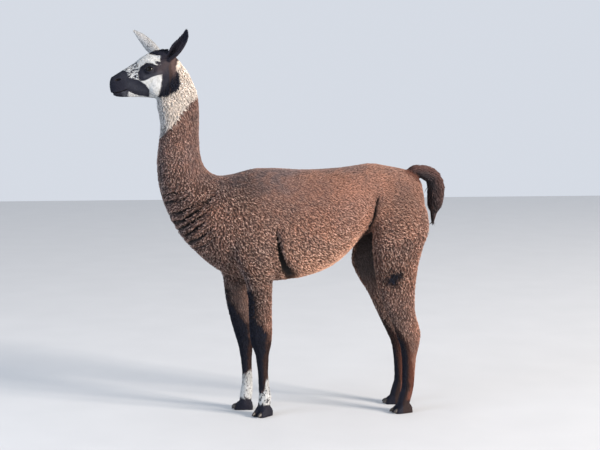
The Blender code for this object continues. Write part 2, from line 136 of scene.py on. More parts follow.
BAND_BACK = [(-0.702, 1.545), (-0.684, 1.550), (-0.680, 1.480), (-0.716, 1.448), (-0.722, 1.500)]
BAND_STREAK = [(-0.718, 1.618), (-0.694, 1.612), (-0.692, 1.545), (-0.705, 1.518), (-0.716, 1.560)]
CHIN = [(-0.936, 1.466), (-0.907, 1.464), (-0.900, 1.428), (-0.932, 1.428)]
POLL_TUFT = [(-0.814, 1.621), (-0.800, 1.660), (-0.735, 1.660), (-0.735, 1.620), (-0.760, 1.615)]
BROW_DASH = [(-0.789, 1.589), (-0.774, 1.592), (-0.756, 1.583), (-0.768, 1.575), (-0.783, 1.579)]
FACE_SPECKS = [(-0.926, 1.548), (-0.905, 1.580), (-0.862, 1.592), (-0.857, 1.563), (-0.865, 1.536)]
FACE_SPECKS += [(-0.860, 1.512), (-0.901, 1.519)]
WHITE_FACE = [(-1.00, 1.40), (-0.790, 1.405), (-0.762, 1.440), (-0.752, 1.540), (-0.735, 1.70)]
WHITE_FACE += [(-1.00, 1.70)]
CREAM_EDGE = [(-0.80, 1.250), (-0.756, 1.259), (-0.707, 1.314), (-0.667, 1.370), (-0.628, 1.421)]
CREAM_EDGE += [(-0.592, 1.450), (-0.56, 1.465)]
POLL_WIDTH = 0.056  # of half the black tuft on the poll
# Greyed places of the face: a line, how far it reaches to either side, and how grey. The bridge of the nose
# and the line under the eye are painted highlights.
FACE_GREYS_AND_HIGHLIGHTS = [
    ([(-0.895, 1.490), (-0.835, 1.460)], 0.020, 0.40),  # cheek
    ([(-0.945, 1.545), (-0.915, 1.525)], 0.016, 0.25),  # bridge of the nose
    ([(-0.831, 1.523), (-0.795, 1.530), (-0.764, 1.543)], 0.008, 0.50),  # under the eye
]
GREYED_EYE_PATCH = 0.08
# Paler streaks: a line, its reach and its amount.
EYE_CORNER = ([(-0.765, 1.550), (-0.730, 1.590)], 0.022, 0.30)
# The near ear's paler edge is painted light where its back faces the light.
EAR_EDGE = ([(-0.712, -0.050, 1.600), (-0.672, -0.078, 1.668)], 0.013, 0.55)
# The near ear is black on the side its opening faces: painted shade in its cup.
NEAR_EAR_OPENING = (-0.50, -0.85, 0.15)  # the way the near ear's black inside faces
FAR_EAR_MARKS = {"black": -5.0, "dark": -5.0, "white": 3.0, "streak": 0.20, "specks": 0.25}

# Heights up the legs, half their depth from front to back there, and where along the body their middles
# are. How far forward a place of a leg lies is told as a share of that half depth, from -1 to 1.
LEG_HEIGHTS = {
    "front": (0.05, 0.13, 0.20, 0.28, 0.34, 0.42, 0.51, 0.61),
    "hind": (0.05, 0.12, 0.18, 0.25, 0.30, 0.35, 0.40, 0.46, 0.53, 0.60, 0.68, 0.76),
}
LEG_HALVES = {
    "front": (0.028, 0.025, 0.024, 0.031, 0.048, 0.054, 0.054, 0.061),
    "hind": (0.028, 0.028, 0.030, 0.033, 0.043, 0.057, 0.062, 0.068, 0.082, 0.094, 0.105, 0.119),
}
LEG_MIDDLES = {
    "front_left": (-0.310, -0.310, -0.315, -0.319, -0.323, -0.326, -0.325, -0.330),
    "front_right": (-0.379, -0.371, -0.373, -0.377, -0.377, -0.395, -0.417, -0.423),
    "hind_left": (0.331, 0.349, 0.352, 0.354, 0.356, 0.352, 0.338, 0.315, 0.299, 0.291, 0.290, 0.297),
    "hind_right": (0.335, 0.353, 0.354, 0.351, 0.349, 0.339, 0.319, 0.296, 0.276, 0.243, 0.222, 0.250),
}
# Where the black hair on the front of each leg ends: height, and how far forward.
LEG_BLACK = {
    # High on the near front leg's front the black is dark hair with painted shade.
    "front_left": [(0.16, 0.15), (0.27, 0.00), (0.30, -0.30), (0.38, -0.35), (0.40, -0.20), (0.42, 0.10)]
    + [(0.45, 0.55), (0.56, 0.65), (0.60, 0.75), (0.64, 1.20)],
    "front_right": [(0.18, 0.00), (0.28, -0.20), (0.35, -0.30), (0.40, -0.25), (0.43, 0.00), (0.464, 0.35)]
    + [(0.50, 0.65), (0.56, 0.80), (0.61, 1.20)],
    "hind_left": [(0.06, -0.20), (0.12, -0.10), (0.20, 0.10), (0.28, 0.35), (0.34, 0.65), (0.40, 1.20)],
    "hind_right": [(0.06, -0.50), (0.12, 0.10), (0.20, 0.50), (0.28, 0.80), (0.36, 1.20)],
}
# Where the dark hair of the lower legs begins: its height behind and in front.
DARK_TOPS = {"front_left": (0.350, 0.420), "front_right": (0.360, 0.420)}
DARK_TOPS |= {"hind_left": (0.130, 0.450), "hind_right": (0.150, 0.450)}
# Tops of the white socks of the front legs, behind and in front, and their foot.
SOCKS = {"front_left": (0.178, 0.112), "front_right": (0.187, 0.172)}
SOCK_FOOT = 0.050
STIFLE = [((0.263, 0.620), 0.017), ((0.277, 0.638), 0.013)]  # the dark patch on each stifle: where, radius
STIFLE_DARK = 0.018  # how much wider its dark edge is
FOOT_BLACK = 0.062  # height below which every foot is black
DARK_MARGIN = 0.28  # how much further back than black the hair is dark brown
SOFT_EDGE = 0.17  # sharpness of the edges of the legs' black hair as a share of the face's

# Ramps of the soft shades of the neck, trunk and tail, and of the dark hair over the tail's root.
TRUNK_X, TRUNK_Z, TRUNK_TOP = (-0.32, -0.02), (0.40, 0.66), (1.05, 1.13)
FLANK_Z, HIP_X = (0.88, 1.02), (0.16, 0.28)  # where the trunk is a little less warm
FRONT_X, FRONT_Z = (-0.50, -0.30), (0.7, 0.9)
# The belly's ramps place painted sunlight on the lower barrel.
BELLY_FRONT, BELLY_BACK, BELLY_TOP = (-0.30, -0.16), (0.12, 0.24), (0.66, 0.92)
WITHERS_FRONT, WITHERS_BACK, WITHERS_Z = (-0.60, -0.40), (-0.25, -0.10), (0.95, 1.08)
RIDGE_FRONT, RIDGE_BACK, RIDGE_Z = (-0.45, -0.30), (0.05, 0.20), (1.075, 1.120)
NAPE_X, NAPE_Z, NAPE_END = (-0.70, -0.60), (0.98, 1.10), -0.40
TAIL_ROOT = (0.345, 1.085)
TRUNK_WARMTH, THIGH_WARMTH, FRONT_WARMTH = 0.78, 0.50, 0.35
WITHERS_GREY, RIDGE_GREY, TAIL_GREY = 0.95, 0.90, 0.85
RUMP_RUST, TAIL_RUST_HIGHLIGHT, HEAD_RUST, FRONT_LEG_RUST = 0.60, 0.45, 0.10, 0.18
OUTSIDE = -5.0  # a place well outside a marking
CM = 100  # markings are told in centimetres, and those with other edges are sharper or softer

# Painted light and shade on the brown coat, with some of its own tone: where, how far they reach, and how
# much lighter.
PAINTED_LIGHT_AND_SHADE = [
    ((-0.700, 1.190), 0.090, 0.42),  # side of the neck
    ((-0.400, 1.040), 0.090, -0.42),  # withers
    ((-0.420, 0.920), 0.070, -0.08),  # shoulder blade
    ((-0.540, 0.905), 0.070, 0.20),  # front of the shoulder
    ((-0.290, 0.820), 0.050, 0.14),  # behind the shoulder
    ((-0.225, 0.670), 0.034, -0.45),  # behind the elbow
    ((0.090, 1.000), 0.070, 0.14),  # loin
    ((0.000, 1.110), 0.080, -0.16),  # ridge of the back
    ((0.240, 0.870), 0.070, -0.16),  # hip
    ((0.315, 0.960), 0.080, -0.27),  # rump
    ((-0.330, 0.620), 0.090, -0.16),  # forearm
    ((0.235, 0.650), 0.045, -0.32),  # front of the stifle
    ((0.330, 0.520), 0.055, 0.24),  # back of the gaskin
    ((0.378, 0.400), 0.050, 0.35),  # point of the hock
]

# Folds of the skin: a line, the fold's half width at its start and end, and its depth.
Fold = namedtuple("Fold", "line start_width end_width depth")
FOLDS = [  # eight on the chest, from the top down, then the elbow's and the groin's
    Fold([(-0.745, 1.002), (-0.700, 1.010), (-0.655, 1.028)], 0.0060, 0.0040, 0.010),
    Fold([(-0.735, 0.968), (-0.690, 0.978), (-0.645, 0.998)], 0.0075, 0.0050, 0.014),
    Fold([(-0.735, 0.913), (-0.680, 0.930), (-0.620, 0.955), (-0.545, 0.994)], 0.0100, 0.0060, 0.019),
    Fold([(-0.715, 0.878), (-0.660, 0.898), (-0.600, 0.936), (-0.528, 0.998)], 0.0100, 0.0060, 0.019),
    Fold([(-0.690, 0.848), (-0.640, 0.874), (-0.590, 0.910), (-0.552, 0.945)], 0.0095, 0.0060, 0.018),
    Fold([(-0.668, 0.813), (-0.620, 0.846), (-0.577, 0.889)], 0.0090, 0.0060, 0.016),
    Fold([(-0.640, 0.785), (-0.590, 0.822), (-0.533, 0.868)], 0.0080, 0.0050, 0.013),
    Fold([(-0.615, 0.764), (-0.565, 0.792), (-0.520, 0.823)], 0.0060, 0.0040, 0.009),
    Fold([(-0.262, 0.846), (-0.250, 0.760), (-0.225, 0.690), (-0.196, 0.646)], 0.0065, 0.0260, 0.022),
    Fold([(0.192, 0.985), (0.176, 0.900), (0.140, 0.810), (0.100, 0.730)], 0.0085, 0.0150, 0.017),
]
CHEST_FOLDS = 8  # these are weaker on the right
FOLD_ENDS, FOLD_MIDDLE = 0.35, 0.30  # share of a fold's strength at its ends and at the body's middle
# How the folds waver: how far to and fro, how far up and down, and how much higher they are on the right.
WAVER, RIPPLE, RIGHT_HIGHER = 0.006, 0.0035, 0.013
BARE_FOLD = 0.44  # how far in a fold no hair grows

Groove = namedtuple("Groove", "width depth rim_at rim_width rim_height")
MOUTH_GROOVE = Groove(0.0020, 0.0050, 0.0060, 0.0028, 0.0014)
NOSTRIL_GROOVE = Groove(0.0032, 0.0095, 0.0070, 0.0030, 0.0020)
MOUTH = [(-1.000, 1.458), (-0.971, 1.452), (-0.945, 1.455), (-0.922, 1.463), (-0.908, 1.469)]
MOUTH_FRONT, MOUTH_TOP = -0.905, 1.50  # places further back or higher aren't at the mouth
CLEFT_WIDTH, CLEFT_DEPTH = 0.0013, 0.0024  # of the split in the upper lip
CLEFT_BOTTOM, CLEFT_TOP = (1.452, 1.460), (1.484, 1.494)
NOSTRIL = ((-0.973, 0.0200, 1.503), (-0.941, 0.0355, 1.512))

# The way the hair points, before it is laid along the skin.
LEG_LIE, NECK_LIE, HEAD_LIE, JAW_LIE = (0.12, 0, -1), (0.20, 0, -1), (1, 0, 0.12), (1, 0, -0.10)
JAW_TOP = 1.46

# Tufts: the ranges over which their lengths, heights, widths and pulls vary, as shares.
LENGTHS, HEIGHTS, WIDTHS, PULLS = (0.8, 1.2), (0.72, 1.02), (0.8, 1.25), (0.7, 1.2)
SMOOTH_LENGTH = 1.35  # length of a tuft of smooth hair as a share of one of curly wool
FOOT_LENGTH = 0.65  # length of a foot's tuft as a share of its shank's
TAIL_ROOM = 0.008  # how far a tail's tuft may stand off
TAIL_FACING = 0.40  # roots that face away from the tail's middle line by less lie in its creases
SUNK = 0.0015  # how deep in the skin a tuft starts
TRIES = 4.0  # roots tried in each cell of the grid that spaces them
CHART_BINS = 12  # lengths in which a part's middle line is found for its map
LASHES, LASH_WIDTH = 34, 0.0009

# Colours, linear.
BROWN = (0.205, 0.116, 0.090)
BROWN_WARM = (0.375, 0.182, 0.126)
BROWN_SUNLIT = (0.520, 0.285, 0.195)
BROWN_GREY = (0.138, 0.100, 0.100)
BROWN_TIP = (0.780, 0.610, 0.510)
BROWN_INNER = (0.088, 0.068, 0.066)
DARK = (0.019, 0.013, 0.014)
DARK_WARM = (0.130, 0.045, 0.028)
STREAK = (0.115, 0.076, 0.072)
CHIN_GREY = (0.155, 0.165, 0.195)
CREAM = (0.950, 0.850, 0.740)
CREAM_DEEP = (0.800, 0.670, 0.550)
CREAM_GREY = (0.500, 0.500, 0.505)
WHITE = (0.620, 0.635, 0.640)
WHITE_GREY = (0.330, 0.330, 0.310)
BLACK = (0.0080, 0.0100, 0.0210)
BLACK_WARM = (0.0200, 0.0100, 0.0100)
# The skin's own dark colour, used with painted shade between the tufts.
SKIN_SHADE = (0.020, 0.014, 0.013)
SKIN_GRAIN = (0.010, 0.008, 0.008)
# Painted shadow in the folds, the nostrils and the mouth.
FOLD_SHADE = (0.008, 0.006, 0.006)
IRIS_DARK, IRIS_LIGHT, PUPIL = (0.005, 0.004, 0.003), (0.014, 0.009, 0.006), (0.003, 0.003, 0.004)
HORN_DARK, HORN_LIGHT = (0.012, 0.010, 0.009), (0.050, 0.040, 0.034)
FLOOR_DARK, FLOOR_LIGHT = (0.56, 0.57, 0.58), (0.62, 0.63, 0.64)

# The studio. A light has a place, a size, a power and a colour.
SKY, SKY_STRENGTH = (0.86, 0.91, 1.0, 1), 0.78
LIGHTS = {
    "key": ((12.0, -8.8, 4.85), 4.4, 5000, (1.0, 0.89, 0.79)),
    "fill": ((-5.5, -3.0, 2.6), 4.0, 190, (0.66, 0.80, 1.0)),
}
LIT_PLACE = (0.0, 0.0, 0.95)
FLOOR_SIZE = 14
CAMERA_PLACE, CAMERA_PITCH, CAMERA_YAW = (-0.7575, -6.05, 1.40), 84.92, -8
SENSOR_WIDTH, LENS = 36, 81


# Geometry.


def on_animal(places):
    """Places in the animal's own coordinates."""
    return places - ORIGIN


def smoothstep(value, low, high):
    t = np.clip((value - low) / (high - low), 0, 1)
    return t * t * (3 - 2 * t)


def bell(distance, width):
    return np.exp(-((distance / width) ** 2))


def plateau(value, rise, fall):
    """1 between two ramps and 0 beyond them."""
    return smoothstep(value, *rise) * (1 - smoothstep(value, *fall))


def unit(vectors):
    return vectors / np.maximum(np.linalg.norm(vectors, axis=-1, keepdims=True), 1e-9)


def dot(first, second):
    return np.sum(first * second, axis=-1)


def to_line(places, line):
    """The distance of places from a line, and the share of it passed. A flat line lies in the x-z plane."""
    line = np.array(line, float)
    if line.shape[1] < places.shape[1]:
        places = places[:, [0, 2]]
    best = np.full(len(places), np.inf)
    passed = np.zeros(len(places))
    for i, (start, end) in enumerate(zip(line, line[1:])):
        way = end - start
        t = np.clip((places - start) @ way / max(way @ way, 1e-12), 0, 1)
        distance = np.linalg.norm(places - start - t[:, None] * way, axis=1)
        nearer = distance < best
        best[nearer] = distance[nearer]
        passed[nearer] = ((i + t) / (len(line) - 1))[nearer]
    return best, passed


def near(places, line, reach):
    """How near places are to a line, from 0 to 1."""
    return bell(to_line(places, line)[0], reach)


def way_along(line, passed):
    """The line's direction where each share of it has been passed."""
    steps = unit(np.diff(np.array(line, float), axis=0))
    return steps[np.minimum((passed * len(steps)).astype(int), len(steps) - 1)]


def within(places, outline):
    """How deep places lie inside an outline in the x-z plane, in metres: negative outside it."""
    x, z = places[:, 0], places[:, 2]
    inside = np.zeros(len(places), bool)
    for (x1, z1), (x2, z2) in zip(outline, [*outline[1:], outline[0]]):
        crosses = (z1 > z) != (z2 > z)
        inside ^= crosses & (x < (x2 - x1) * (z - z1) / ((z2 - z1) or 1e-9) + x1)
    distance, _ = to_line(places, [*outline, outline[0]])
    return np.where(inside, distance, -distance)


def part_numbers(*names):
    """The numbers in PARTS of the parts whose name is or ends with one of the names."""
    return [i for i, part in enumerate(PARTS) if part.endswith(names)]


def is_part(part, *names):
    """Whether each part's number is of a part whose name is or ends with one of the names."""
    return np.isin(part, part_numbers(*names))


# Meshes and their arrays.

Surface = namedtuple("Surface", "places normals triangles")


def read(items, field, width, kind=np.float32):
    """A field of a mesh's vertices, edges or triangles, with a row for each."""
    values = np.empty(len(items) * width, kind)
    items.foreach_get(field, values)
    return values.reshape(-1, width)


def arrays_of(mesh):
    mesh.calc_loop_triangles()
    return Surface(
        read(mesh.vertices, "co", 3).astype(float),
        read(mesh.vertex_normals, "vector", 3).astype(float),
        read(mesh.loop_triangles, "vertices", 3, np.int32),
    )


def move_to(mesh, places):
    mesh.vertices.foreach_set("co", places.astype(np.float32).ravel())
    mesh.update()


def edges_of(mesh):
    return read(mesh.edges, "vertices", 2, np.int32)


def evened(values, edges, share, rounds):
    """Values at vertices, moved towards the mean of their neighbours by a share, round after round."""
    values = values.astype(float)
    count = len(values)
    columns = values.reshape(count, -1)
    share = np.broadcast_to(share, count)
    degree = np.maximum(np.bincount(edges.ravel(), minlength=count), 1)
    start, end = edges.T
    for _ in range(rounds):
        for k in range(columns.shape[1]):
            column = columns[:, k]
            total = np.bincount(start, column[end], count) + np.bincount(end, column[start], count)
            column += share * (total / degree - column)
    return columns.reshape(values.shape)


def mesh_from(name, places, triangles):
    mesh = bpy.data.meshes.new(name)
    mesh.vertices.add(len(places))
    mesh.vertices.foreach_set("co", places.astype(np.float32).ravel())
    mesh.loops.add(triangles.size)
    mesh.loops.foreach_set("vertex_index", triangles.astype(np.int32).ravel())
    mesh.polygons.add(len(triangles))
    mesh.polygons.foreach_set("loop_start", np.arange(0, triangles.size, 3, dtype=np.int32))
    mesh.update(calc_edges=True)
    mesh.shade_smooth()
    return mesh


def add_attribute(mesh, name, values):
    kind, field = ("FLOAT_VECTOR", "vector") if values.ndim == 2 else ("FLOAT", "value")
    mesh.attributes.new(name, kind, "POINT").data.foreach_set(field, values.astype(np.float32).ravel())


def linked(name, data):
    """A new object of the scene."""
    obj = bpy.data.objects.new(name, data)
    bpy.context.scene.collection.objects.link(obj)
    return obj


def shown(name, mesh, material, replaced=()):
    """Links an object for a mesh, which rides with the body and stands for the replaced solids."""
    obj = linked(name, mesh)
    mesh.materials.append(material)
    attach(obj, "root")
    if replaced:
        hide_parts(*replaced)


def mesh_of(bm, name):
    """A bmesh as a mesh. The bmesh is freed."""
    mesh = bpy.data.meshes.new(name)
    bm.to_mesh(mesh)
    bm.free()
    return mesh


def welded(name):
    """A solid of the frame as a closed bmesh."""
    bm = bmesh.new()
    bm.from_mesh(SOLIDS[name].data)
    bmesh.ops.remove_doubles(bm, verts=bm.verts, dist=1e-5)
    bm.normal_update()
    return bm


# The skin.


def joined_flesh():
    """The solids of the flesh in one mesh, each a little swollen, with the eye sockets filled."""
    whole = bmesh.new()
    for name in PARTS:
        bm = welded(name)
        for vertex in bm.verts:
            vertex.co += vertex.normal * SEAM
        piece = mesh_of(bm, "piece")
        whole.from_mesh(piece)
        bpy.data.meshes.remove(piece)
    for side in (-1, 1):
        made = bmesh.ops.create_icosphere(whole, subdivisions=4, radius=EYE_RADIUS + 2 * SEAM)
        bmesh.ops.translate(whole, verts=made["verts"], vec=eye_centre(side) + ORIGIN)
    return mesh_of(whole, "skin")


def with_modifier(mesh, kind, settings, weights=None):
    """A mesh as a modifier leaves it."""
    obj = linked("worked", mesh)
    modifier = obj.modifiers.new("worked", kind)
    if weights is not None:
        group = obj.vertex_groups.new(name="weights")
        for step in np.unique(weights):
            group.add(np.flatnonzero(weights == step).tolist(), float(step), "REPLACE")
        modifier.vertex_group = group.name
    for key, value in settings.items():
        setattr(modifier, key, value)
    graph = bpy.context.evaluated_depsgraph_get()
    made = bpy.data.meshes.new_from_object(obj.evaluated_get(graph))
    bpy.data.objects.remove(obj)
    bpy.data.meshes.remove(mesh)
    return made


class Flesh:
    """Which solid each place belongs to, and how far inside the whole body's outline it is."""

    def __init__(self):
        self.outline = None
        corners, faces, self.owners = [], [], []
        for number, name in enumerate(PARTS):
            mesh = SOLIDS[name].data
            first = len(corners)
            corners += [vertex.co.copy() for vertex in mesh.vertices]
            faces += [[first + i for i in polygon.vertices] for polygon in mesh.polygons]
            self.owners += [number] * len(mesh.polygons)
        self.tree = BVHTree.FromPolygons(corners, faces)

    def owners_of(self, places):
        found = [self.tree.find_nearest(place)[2] for place in places]
        return np.array(self.owners, np.int32)[found]

    def keep_outline(self, mesh):
        """Takes a mesh as the outline of the coat."""
        bm = bmesh.new()
        bm.from_mesh(mesh)
        self.outline = BVHTree.FromBMesh(bm)
        bm.free()

    def room_at(self, places):
        """How far each place is from the outline of the coat."""
        return np.array([self.outline.find_nearest(place)[3] for place in places])


def curl_at(places, part):
    """How curly the coat is at each place, from smooth, 0, to woolly, 1."""
    x, z = places[:, 0], places[:, 2]
    body = BACK_CURL + BELLY_CURL * (1 - smoothstep(z, *CURL_BACK_Z))
    behind = smoothstep(x, *CURL_BARREL_X)
    curl = CHEST_CURL * (1 - behind) + behind * body
    for amount, along, upwards, end in SMOOTHER:
        curl -= amount * smoothstep(x, *along) * smoothstep(z, *upwards) * (x < end)
    for pair, ramp in LEG_CURL.items():
        names = [f"{leg}_{name}" for leg in LEGS for name in LEG_PARTS if leg.startswith(pair)]
        curl = np.where(is_part(part, *names), smoothstep(z, *ramp), curl)
    curl = np.where(is_part(part, "neck_upper") & (z > THROAT_Z), THROAT_CURL, curl)
    curl = np.where(is_part(part, "tail"), TAIL_CURL, curl)
    short = is_part(part, "head", "ear_left", "ear_right", "foot")
    return np.where(short, 0.0, np.maximum(curl, LEAST_CURL))


def inner_side(places, normals, part):
    """How far each place is on the inner side of a leg, from 0 to 1."""
    x, y, z = places.T
    facing = smoothstep(-np.sign(y) * normals[:, 1], *INNER_FACING)
    front = is_part(part, "front_left_upper_leg", "front_right_upper_leg")
    hind = is_part(part, "hind_left_upper_leg", "hind_right_upper_leg", "rump") & (x < INNER_HIND_X)
    hind = hind * plateau(z, INNER_HIND_Z, INNER_HIND_TOP)
    return facing * np.maximum(front * (1 - smoothstep(z, *INNER_FRONT_TOP)), hind)


def coat_depth(places, normals, part):
    """How deep the coat lies over each place of the solids' surface."""
    depth = np.zeros(len(places))
    for name, value in COAT_DEPTH.items():
        depth[is_part(part, name)] = value
    legs = is_part(part, *LEG_PARTS)
    depth[legs] = np.interp(places[:, 2], *np.array(LEG_COAT).T)[legs]
    trunk = is_part(part, "neck_lower", "chest", "barrel", "rump")
    depth[trunk] *= (SMOOTH_DEPTH + (1 - SMOOTH_DEPTH) * curl_at(places, part))[trunk]
    depth *= 1 - (1 - INNER_DEPTH) * inner_side(places, normals, part)
    tail = is_part(part, "tail")
    from_middle, _ = to_line(places[tail], TAIL_LINE)
    depth[tail] = (1 - TAIL_SKIN) * np.hypot(from_middle, places[tail][:, 1])
    return depth


def wavering(places):
    """Places in the x-z plane, moved a little, so that the folds waver and differ from side to side."""
    x, y, z = places.T
    flat = places[:, [0, 2]].copy()
    right = smoothstep(y, -0.02, 0.02)
    flat[:, 0] += WAVER * np.sin(y * 23 + z * 31) * right
    flat[:, 1] += RIPPLE * np.sin(x * 70 + y * 19) + RIGHT_HIGHER * right * (x < -0.4)
    return flat


def fold_depth(places):
    """How deep the folds of the skin are at each place, and how far in a fold it is, from 0 to 1."""
    flat = wavering(places)
    total, share = np.zeros(len(places)), np.zeros(len(places))
    for number, (line, start_width, end_width, depth) in enumerate(FOLDS):
        distance, passed = to_line(flat, line)
        width = start_width + (end_width - start_width) * passed
        # A fold is weakest at its ends and near the body's middle, and its strength differs on the right.
        strength = bell(distance, width)
        strength *= FOLD_ENDS + (1 - FOLD_ENDS) * np.sin(np.pi * np.clip(passed, 0.12, 0.88))
        from_middle = np.abs(places[:, 1] - 0.030 * math.sin(2.4 * number))
        strength *= FOLD_MIDDLE + (1 - FOLD_MIDDLE) * smoothstep(from_middle, 0.004, 0.045)
        on_right = smoothstep(places[:, 1], -0.03, 0.03) * (number < CHEST_FOLDS)
        strength *= 1 - on_right * (0.52 - 0.30 * math.sin(1.9 * number))
        total = np.maximum(total, depth * strength)
        share = np.maximum(share, strength)
    return total, share


def eye_centre(side):
    return EYE * (1, -side, 1)


def eye_axes(side):
    """The way an eye looks, the way along its slit towards the nose, and the way up."""
    ahead = unit(np.array([-0.20, side, 0.05]))
    along = np.array([-1.0, 0.0, -0.22])
    along = unit(along - ahead * (along @ ahead))
    return ahead, along, np.cross(along, ahead) * (1 if side < 0 else -1)


def slit(places, side):
    """Each place's distance from the eye's middle, and its distance outside the slit between the lids."""
    ahead, along, up = eye_axes(side)
    offset = places - eye_centre(side)
    distance = np.linalg.norm(offset, axis=1)
    way = offset / np.maximum(distance, 1e-9)[:, None]
    s = way @ along * EYE_RADIUS / SLIT_HALF_LENGTH
    t = way @ up * EYE_RADIUS / SLIT_HALF_HEIGHT
    beyond = np.abs(t) + s * s - 1
    outside = beyond / np.hypot(2 * s / SLIT_HALF_LENGTH, 1 / SLIT_HALF_HEIGHT)
    outside[way @ ahead < 0.1] = 1.0
    return distance, outside, t


def ridge(distance, at, width, height):
    """How high a ridge stands at each distance, where its crest is at a distance of its own."""
    return height * bell(distance - at, width)


def shape_eyelids(places, side):
    """Places near an eye, moved from or towards its middle to make the lids and the hole between them."""
    distance, outside, upwards = slit(places, side)
    near_eye = (distance < EYE_RADIUS + LID_REACH) & (outside < LID_REACH)
    lid = EYE_RADIUS - LID_SUNK + LID_RISE * smoothstep(outside, *LID_EDGE)
    lid -= ridge(outside, *LID_CREASE) * (upwards > 0.2)
    lid += ridge(outside, *LID_SWELLING) * (upwards > 0.0)
    natural = np.where(outside > 0, np.maximum(distance, EYE_RADIUS + 0.0010), distance)
    wanted = natural + (lid - natural) * (1 - smoothstep(outside, *LID_END))
    scale = np.where(near_eye, wanted / distance, 1.0)
    return eye_centre(side) + (places - eye_centre(side)) * scale[:, None]


def nostril_line(side):
    return [np.array(place) * (1, side, 1) for place in NOSTRIL]


def at_mouth(places, margin=0.0):
    """Whether each place is on the muzzle, round the mouth."""
    return (places[:, 0] < MOUTH_FRONT - margin) & (places[:, 2] < MOUTH_TOP)


def carved(distance, groove):
    """How deep a groove is at a distance from its line: less than nothing on its rim."""
    rim = ridge(distance, groove.rim_at, groove.rim_width, groove.rim_height)
    return groove.depth * bell(distance, groove.width) - rim


def shape_face(places, normals):
    """The skin of the face with its lids, nostrils, mouth and split lip."""
    for side in (-1, 1):
        places = shape_eyelids(places, side)
        distance, _ = to_line(places, nostril_line(side))
        places = places - normals * carved(distance, NOSTRIL_GROOVE)[:, None]
    front = places[:, 0] < MOUTH[-1][0] + 0.01
    distance, passed = to_line(places, MOUTH)
    fade = 1 - smoothstep(passed, 0.85, 1.0)
    places = places - normals * (carved(distance, MOUTH_GROOVE) * fade * front)[:, None]
    cleft = bell(places[:, 1], CLEFT_WIDTH) * plateau(places[:, 2], CLEFT_BOTTOM, CLEFT_TOP)
    return places - normals * (CLEFT_DEPTH * cleft * (places[:, 0] < -0.96))[:, None]


def fineness_at(places):
    """The longest edge wanted at each place of the skin."""
    wanted = np.full(len(places), 1.0)
    for side in (-1, 1):
        distance, outside, _ = slit(places, side)
        wanted[(distance < EYE_RADIUS + 0.012) & (outside < 0.012)] = FACE_EDGE
        distance, _ = to_line(places, nostril_line(side))
        wanted[distance < 0.012] = NOSTRIL_EDGE
    distance, _ = to_line(places, MOUTH)
    wanted[(distance < 0.006) & at_mouth(places, -0.005)] = FACE_EDGE
    return wanted


def refined(mesh):
    """The mesh with its edges halved, wherever they are longer than the face's detail needs."""
    for _ in range(3):
        surface = arrays_of(mesh)
        edges = edges_of(mesh)
        start, end = surface.places[edges[:, 0]], surface.places[edges[:, 1]]
        too_long = np.linalg.norm(end - start, axis=1) > 1.5 * fineness_at(on_animal((start + end) / 2))
        bm = bmesh.new()
        bm.from_mesh(mesh)
        bm.edges.ensure_lookup_table()
        bmesh.ops.subdivide_edges(bm, edges=[bm.edges[i] for i in np.flatnonzero(too_long)], cuts=1)
        bmesh.ops.triangulate(bm, faces=[face for face in bm.faces if len(face.verts) > 3])
        bm.to_mesh(mesh)
        bm.free()
    return mesh


def make_skin(flesh):
    """The skin's mesh, which lies under the coat's depth, with folds and the features of the face."""
    mesh = with_modifier(joined_flesh(), "REMESH", {"mode": "VOXEL", "voxel_size": VOXEL})
    surface, edges = arrays_of(mesh), edges_of(mesh)
    part = flesh.owners_of(surface.places)
    fine = is_part(part, "head", "ear_left", "ear_right", "foot", "tail")
    pairs = zip(FINE_SMOOTHING, SMOOTHING)
    inwards, outwards = (evened(np.where(fine, *pair), edges, *SHARE_BLEND) for pair in pairs)
    smooth = surface.places
    for _ in range(SMOOTHING_ROUNDS):
        smooth = evened(evened(smooth, edges, inwards, 1), edges, -outwards, 1)
    move_to(mesh, smooth)
    flesh.keep_outline(mesh)
    surface = arrays_of(mesh)
    own = on_animal(surface.places)
    depth = evened(coat_depth(own, surface.normals, part), edges, *DEPTH_BLEND)
    sole = (own[:, 2] < 0.004) & (surface.normals[:, 2] < -0.5)
    depth[sole] = 0
    normals = unit(evened(surface.normals, edges, *NORMAL_BLEND))
    folds, _ = fold_depth(own)
    places = surface.places - normals * (depth + folds)[:, None]
    places[:, 2] = np.maximum(places[:, 2], 0.0)
    move_to(mesh, places)
    head, foot = is_part(part, "head", "ear_left", "ear_right"), is_part(part, "foot")
    weights = np.select([head, foot], THINNING[:2], THINNING[2])
    settings = {"ratio": SKIN_TRIANGLES / len(surface.triangles), "vertex_group_factor": 0.01}
    mesh = refined(with_modifier(mesh, "DECIMATE", settings, weights))
    surface = arrays_of(mesh)
    move_to(mesh, shape_face(on_animal(surface.places), surface.normals) + ORIGIN)
    mesh.shade_smooth()
    return mesh


# Markings.


